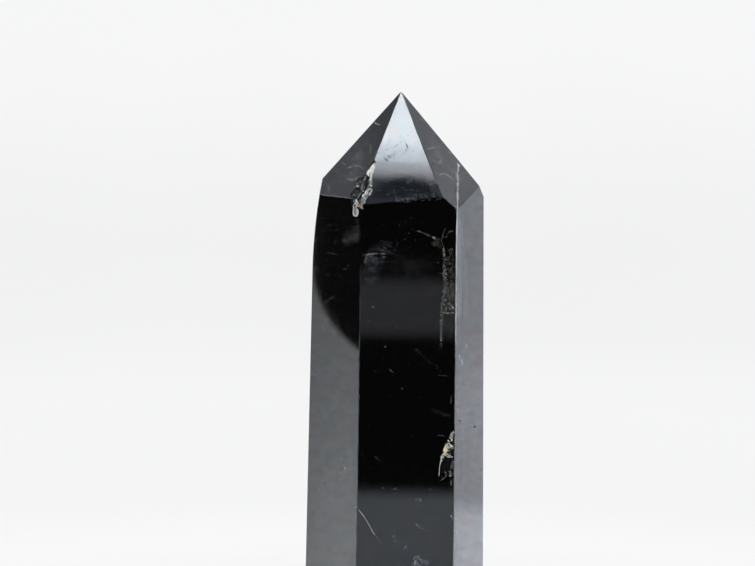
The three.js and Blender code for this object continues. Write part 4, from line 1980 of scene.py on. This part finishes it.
@dataclass
class Studio:
    """The soft light, the pale sweep and the camera.

    Attributes:
        turn: how far the crystal is turned to the right of facing the camera, in degrees.
        distance: how far the camera stands from the crystal's axis.
        sidestep: how far to the right of the axis it stands.
        eye_height: how high it stands.
        roll: how far it is rolled, in degrees.
        lens: its focal length, in real millimetres.
        clip_start: how near the camera sees, in metres.
        light_above: the plain light on matt things, from above.
        light_below: the same from below.
        weave: how fine the mottling of the cloth is that hangs round the crystal.
        weave_level: the darkest that it mottles.
        weave_depth: how much lighter it mottles than that.
        hues: how fine the drift of its colour is, between a warm and a cold tint.
        warm: the warm tint.
        cold: the cold tint.
        floor_radius: how far the sweep's floor is flat.
        curve_radius: how wide the curve is that leads up to its wall.
        curve_steps: how many steps the curve has.
        wall_top: how high the wall is.
        wall_sides: how many sides the sweep has, seen from above.
    """

    turn: float = 7.5
    distance: float = 241.0
    sidestep: float = -2.85
    eye_height: float = 46.4
    roll: float = 0.75
    lens: float = 85.0
    clip_start: float = 0.01
    light_above: Colour = (1.05, 1.05, 1.05)
    light_below: Colour = (0.95, 0.95, 0.95)
    weave: float = 340.0
    weave_level: float = 0.66
    weave_depth: float = 0.68
    hues: float = 110.0
    warm: Colour = (1.1, 0.97, 0.97)
    cold: Colour = (0.9, 1.03, 1.03)
    floor_radius: float = 420.0
    curve_radius: float = 300.0
    curve_steps: int = 12
    wall_top: float = 1500.0
    wall_sides: int = 96

    @staticmethod
    def _walls() -> list[Card]:
        """The pale walls round the horizon, left and right, and their dimmer upper parts.

        Returns:
            The cards.
        """
        horizon, dimming = Chart.HORIZON, (-9.3, -0.5)
        return [
            Card(
                horizon, (-105.0, 7.5), (44.0, 18.0), 2.0, (1.42, 1.47, 1.54),
                start_radiance=(2.2, 2.3, 2.42), fade=dimming,
            ),
            Card(
                horizon, (-109.4, -4.0), (2.4, 8.0), 1.3, (1.0, 1.03, 1.07),
                start_radiance=(1.5, 1.55, 1.62), fade=dimming,
            ),
            Card(
                horizon, (133.0, 8.0), (30.0, 16.0), 2.0, cool(1.1),
                start_radiance=cool(1.36), fade=(-3.4, -1.0),
            ),
            Card(horizon, (133.0, -6.3), (30.0, 1.6), 1.2, cool(1.24)),
            Card(
                horizon, (125.0, 42.0), (36.0, 16.0), 3.0, cool(1.25),
                start_radiance=cool(1.03), fade=(37.3, 39.2),
            ),
            Card(horizon, (125.0, 46.0), (36.0, 5.6), 0.9, cool(1.0)),
            Card(
                horizon, (-131.0, 40.0), (30.0, 14.0), 4.0, cool(0.43),
                start_radiance=cool(0.61), fade=(40.6, 41.8),
            ),
        ]

    @staticmethod
    def _shades() -> list[Card]:
        """The dark room before the crystal, the strip of light low in it and its curved end.

        Returns:
            The cards.
        """
        horizon = Chart.HORIZON
        return [
            Card(horizon, (10.0, 33.0), (62.0, 39.5), 0.5, grey(0.04)),
            Card(horizon, (15.0, 0.31), (30.0, 0.87), 0.28, cool(0.46)),
            Card(horizon, (-93.45, 13.21), (13.69, 15.5), 0.12, grey(0.04), 3.6),
        ]

    @staticmethod
    def _overhead() -> list[Card]:
        """The lamp above the crystal with its skirt, and the dim ceiling that it hangs from.

        Returns:
            The cards.
        """
        overhead = Chart.OVERHEAD
        return [
            Card(overhead, (0.0, 36.5), (60.0, 25.0), 3.0, cool(0.42)),
            Card(overhead, (3.8, 16.19), (3.0, 1.4), 0.4, (0.8, 0.95, 1.2)),
            Card(overhead, (27.5, -3.5), (2.4, 5.0), 0.6, cool(6.5)),
            Card(
                overhead, (3.2, -8.0), (17.0, 22.66), 0.13, cool(2.0),
                start_radiance=cool(6.3), fade=(14.24, 14.7),
            ),
            Card(
                overhead, (3.2, -8.0), (17.0, 22.06), 0.13, (10.3, 11.3, 12.6),
                start_radiance=(14.3, 15.2, 16.2), fade=(13.35, 13.75),
            ),
            Card(overhead, (3.9, 15.93), (1.4, 1.4), 0.16, (0.2, 0.24, 0.31), 1.4),
            Card(overhead, (3.8, 16.68), (3.0, 1.45), 0.12, (0.42, 0.48, 0.62)),
        ]

    def _cards(self) -> list[Card]:
        """The light and shade around the crystal, each over the ones before it.

        Returns:
            The cards.
        """
        table = [
            Card(Chart.HORIZON, (15.0, -48.0), (76.0, 42.37), 0.3, (1.03, 1.12, 1.24)),
            Card(Chart.HORIZON, (140.0, -49.0), (50.0, 42.1), 0.5, cool(2.08)),
        ]
        return [*self._walls(), *self._shades(), *self._overhead(), *table]

    @staticmethod
    def _mask(card: Card, spots: dict[Chart, tuple[Value, Value]]) -> Value:
        """Works out how much of a card is seen in a direction.

        Args:
            card: the card.
            spots: the direction, measured each way.

        Returns:
            1 on the card and 0 off it.
        """
        first, second = spots[card.chart]
        aside = first - card.middle[0]
        if card.chart is Chart.HORIZON:
            aside = aside.math("WRAP", aside, -180.0, 180.0)
        width = abs(aside) - (card.half[0] - card.corner)
        height = abs(second - card.middle[1]) - (card.half[1] - card.corner)
        beyond_width, beyond_height = width.at_least(0.0), height.at_least(0.0)
        corner = (beyond_width * beyond_width + beyond_height * beyond_height) ** 0.5
        edge = corner + width.at_least(height).at_most(0.0) - card.corner
        return edge.ramp(card.blur, -card.blur)

    def _room(
        self, graph: Graph, direction: Value, spots: dict[Chart, tuple[Value, Value]]
    ) -> Value:
        """Builds the room that the polish mirrors: its cards, seen through a woven cloth.

        Args:
            graph: the world's graph.
            direction: where it is looked at.
            spots: the same, measured each way.

        Returns:
            Its light.
        """
        room: Value | Colour = grey(1.0)
        for card in self._cards():
            light = card.radiance
            if card.start_radiance:
                fading = spots[card.chart][1].ramp(*card.fade)
                light = graph.mix(fading, card.start_radiance, card.radiance)
            room = graph.mix(self._mask(card, spots), room, light)
        weave = self.weave_level + self.weave_depth * graph.noise(direction, self.weave, 2.0)
        hues = graph.mix(graph.noise(direction, self.hues, 1.0), self.warm, self.cold)
        return graph.mix(1.0, graph.mix(1.0, room, hues, "MULTIPLY"), weave, "MULTIPLY")

    def light(self) -> None:
        """Lights the scene: polished things mirror the room, and matt things get a plain light."""
        world = bpy.data.worlds.new("studio")
        world.use_nodes = True
        bpy.context.scene.world = world
        graph = Graph(world.node_tree)
        direction = graph.value("TexCoord", output="Generated")
        turned = graph.value(
            "VectorRotate",
            {"rotation_type": "Z_AXIS"},
            {"Vector": direction, "Angle": math.radians(self.turn)},
        )
        parts = graph.add("SeparateXYZ", sockets={0: turned})
        right, away, up = (Value(graph, output) for output in parts.outputs)
        degrees = math.degrees(1.0)
        spots = {
            Chart.HORIZON: (
                right.math("ARCTAN2", right, -away) * degrees,
                up.math("ARCSINE", up) * degrees,
            ),
            Chart.OVERHEAD: (
                right.math("ARCTAN2", right, up) * degrees,
                right.math("ARCTAN2", -away, up) * degrees,
            ),
        }
        path = graph.add("LightPath")
        scattered = Value(graph, path.outputs["Diffuse Depth"]).at_most(1.0)
        mirrored = Value(graph, path.outputs["Is Glossy Ray"]) * (1.0 - scattered)
        plain = graph.mix(up.ramp(-0.5, 0.5), self.light_below, self.light_above)
        colour = graph.mix(mirrored, plain, self._room(graph, direction, spots))
        shine = graph.add("Background", sockets={"Color": colour})
        graph.add("OutputWorld", sockets={"Surface": shine.outputs[0]})
        world.cycles.sampling_method = "NONE"

    def sweep(self) -> bpy.types.Object:
        """Builds the floor, which curves up into a wall all round.

        Returns:
            The sweep.
        """
        shape = bmesh.new()
        spots = [Vector((0.0, 0.0, 0.0)), Vector((self.floor_radius, 0.0, 0.0))]
        for step in range(1, self.curve_steps + 1):
            angle = math.radians(90.0) * step / self.curve_steps
            across = self.floor_radius + self.curve_radius * math.sin(angle)
            spots.append(Vector((across, 0.0, self.curve_radius * (1.0 - math.cos(angle)))))
        spots.append(Vector((self.floor_radius + self.curve_radius, 0.0, self.wall_top)))
        corners = [shape.verts.new(spot) for spot in spots]
        outline = [shape.edges.new(pair) for pair in zip(corners, corners[1:])]
        bmesh.ops.spin(
            shape,
            geom=[*corners, *outline],
            axis=Vector((0.0, 0.0, 1.0)),
            angle=math.tau,
            steps=self.wall_sides,
            use_merge=True,
        )
        bmesh.ops.remove_doubles(shape, verts=shape.verts, dist=0.01)
        bmesh.ops.recalc_face_normals(shape, faces=shape.faces)
        bmesh.ops.reverse_faces(shape, faces=shape.faces)
        for face in shape.faces:
            face.smooth = True
        sweep = finish_piece("sweep", shape, SweepWhiteWithPaintedLight().material())
        sweep.visible_diffuse = False
        sweep.visible_glossy = False
        sweep.visible_transmission = False
        sweep.visible_shadow = False
        return sweep

    def camera(self) -> bpy.types.Object:
        """Builds the camera, level and turned to the crystal.

        Returns:
            The scene's camera.
        """
        data = bpy.data.cameras.new("camera")
        data.lens = self.lens
        data.clip_start = self.clip_start
        camera = bpy.data.objects.new("camera", data)
        heading = Matrix.Rotation(math.radians(-self.turn), 4, "Z")
        place = heading @ Vector((self.sidestep, -self.distance, self.eye_height)) * MM
        level = Matrix.Rotation(math.radians(90.0), 4, "X")
        rolled = Matrix.Rotation(math.radians(self.roll), 4, "Z")
        camera.matrix_world = Matrix.Translation(place) @ heading @ level @ rolled
        bpy.context.scene.collection.objects.link(camera)
        bpy.context.scene.camera = camera
        return camera


def main() -> None:
    """Builds the crystal, the marks in it and the studio."""
    logging.basicConfig(level=logging.INFO, format="%(name)s: %(message)s")
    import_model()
    bpy.context.scene.view_settings.view_transform = "Standard"
    studio = Studio()
    studio.camera()
    studio.light()
    studio.sweep()
    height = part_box(NODE)[1].z / MM
    faces = ground_faces(height)
    body = CrystalBody(faces, height)
    crystal = body.build(MorionGlass().material())
    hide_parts(NODE)
    skin = body.skin
    marks = [HealedCracks(skin), ScratchesAndEdgeGlow(skin), BrokenQuartzAndPaintedLight(skin), IronStains(skin)]
    for piece in [crystal, *(mark.build() for mark in marks)]:
        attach(piece, BODY)
        LOG.info("%s: %d faces", piece.name, len(piece.data.polygons))


if __name__ == "__main__":
    main()
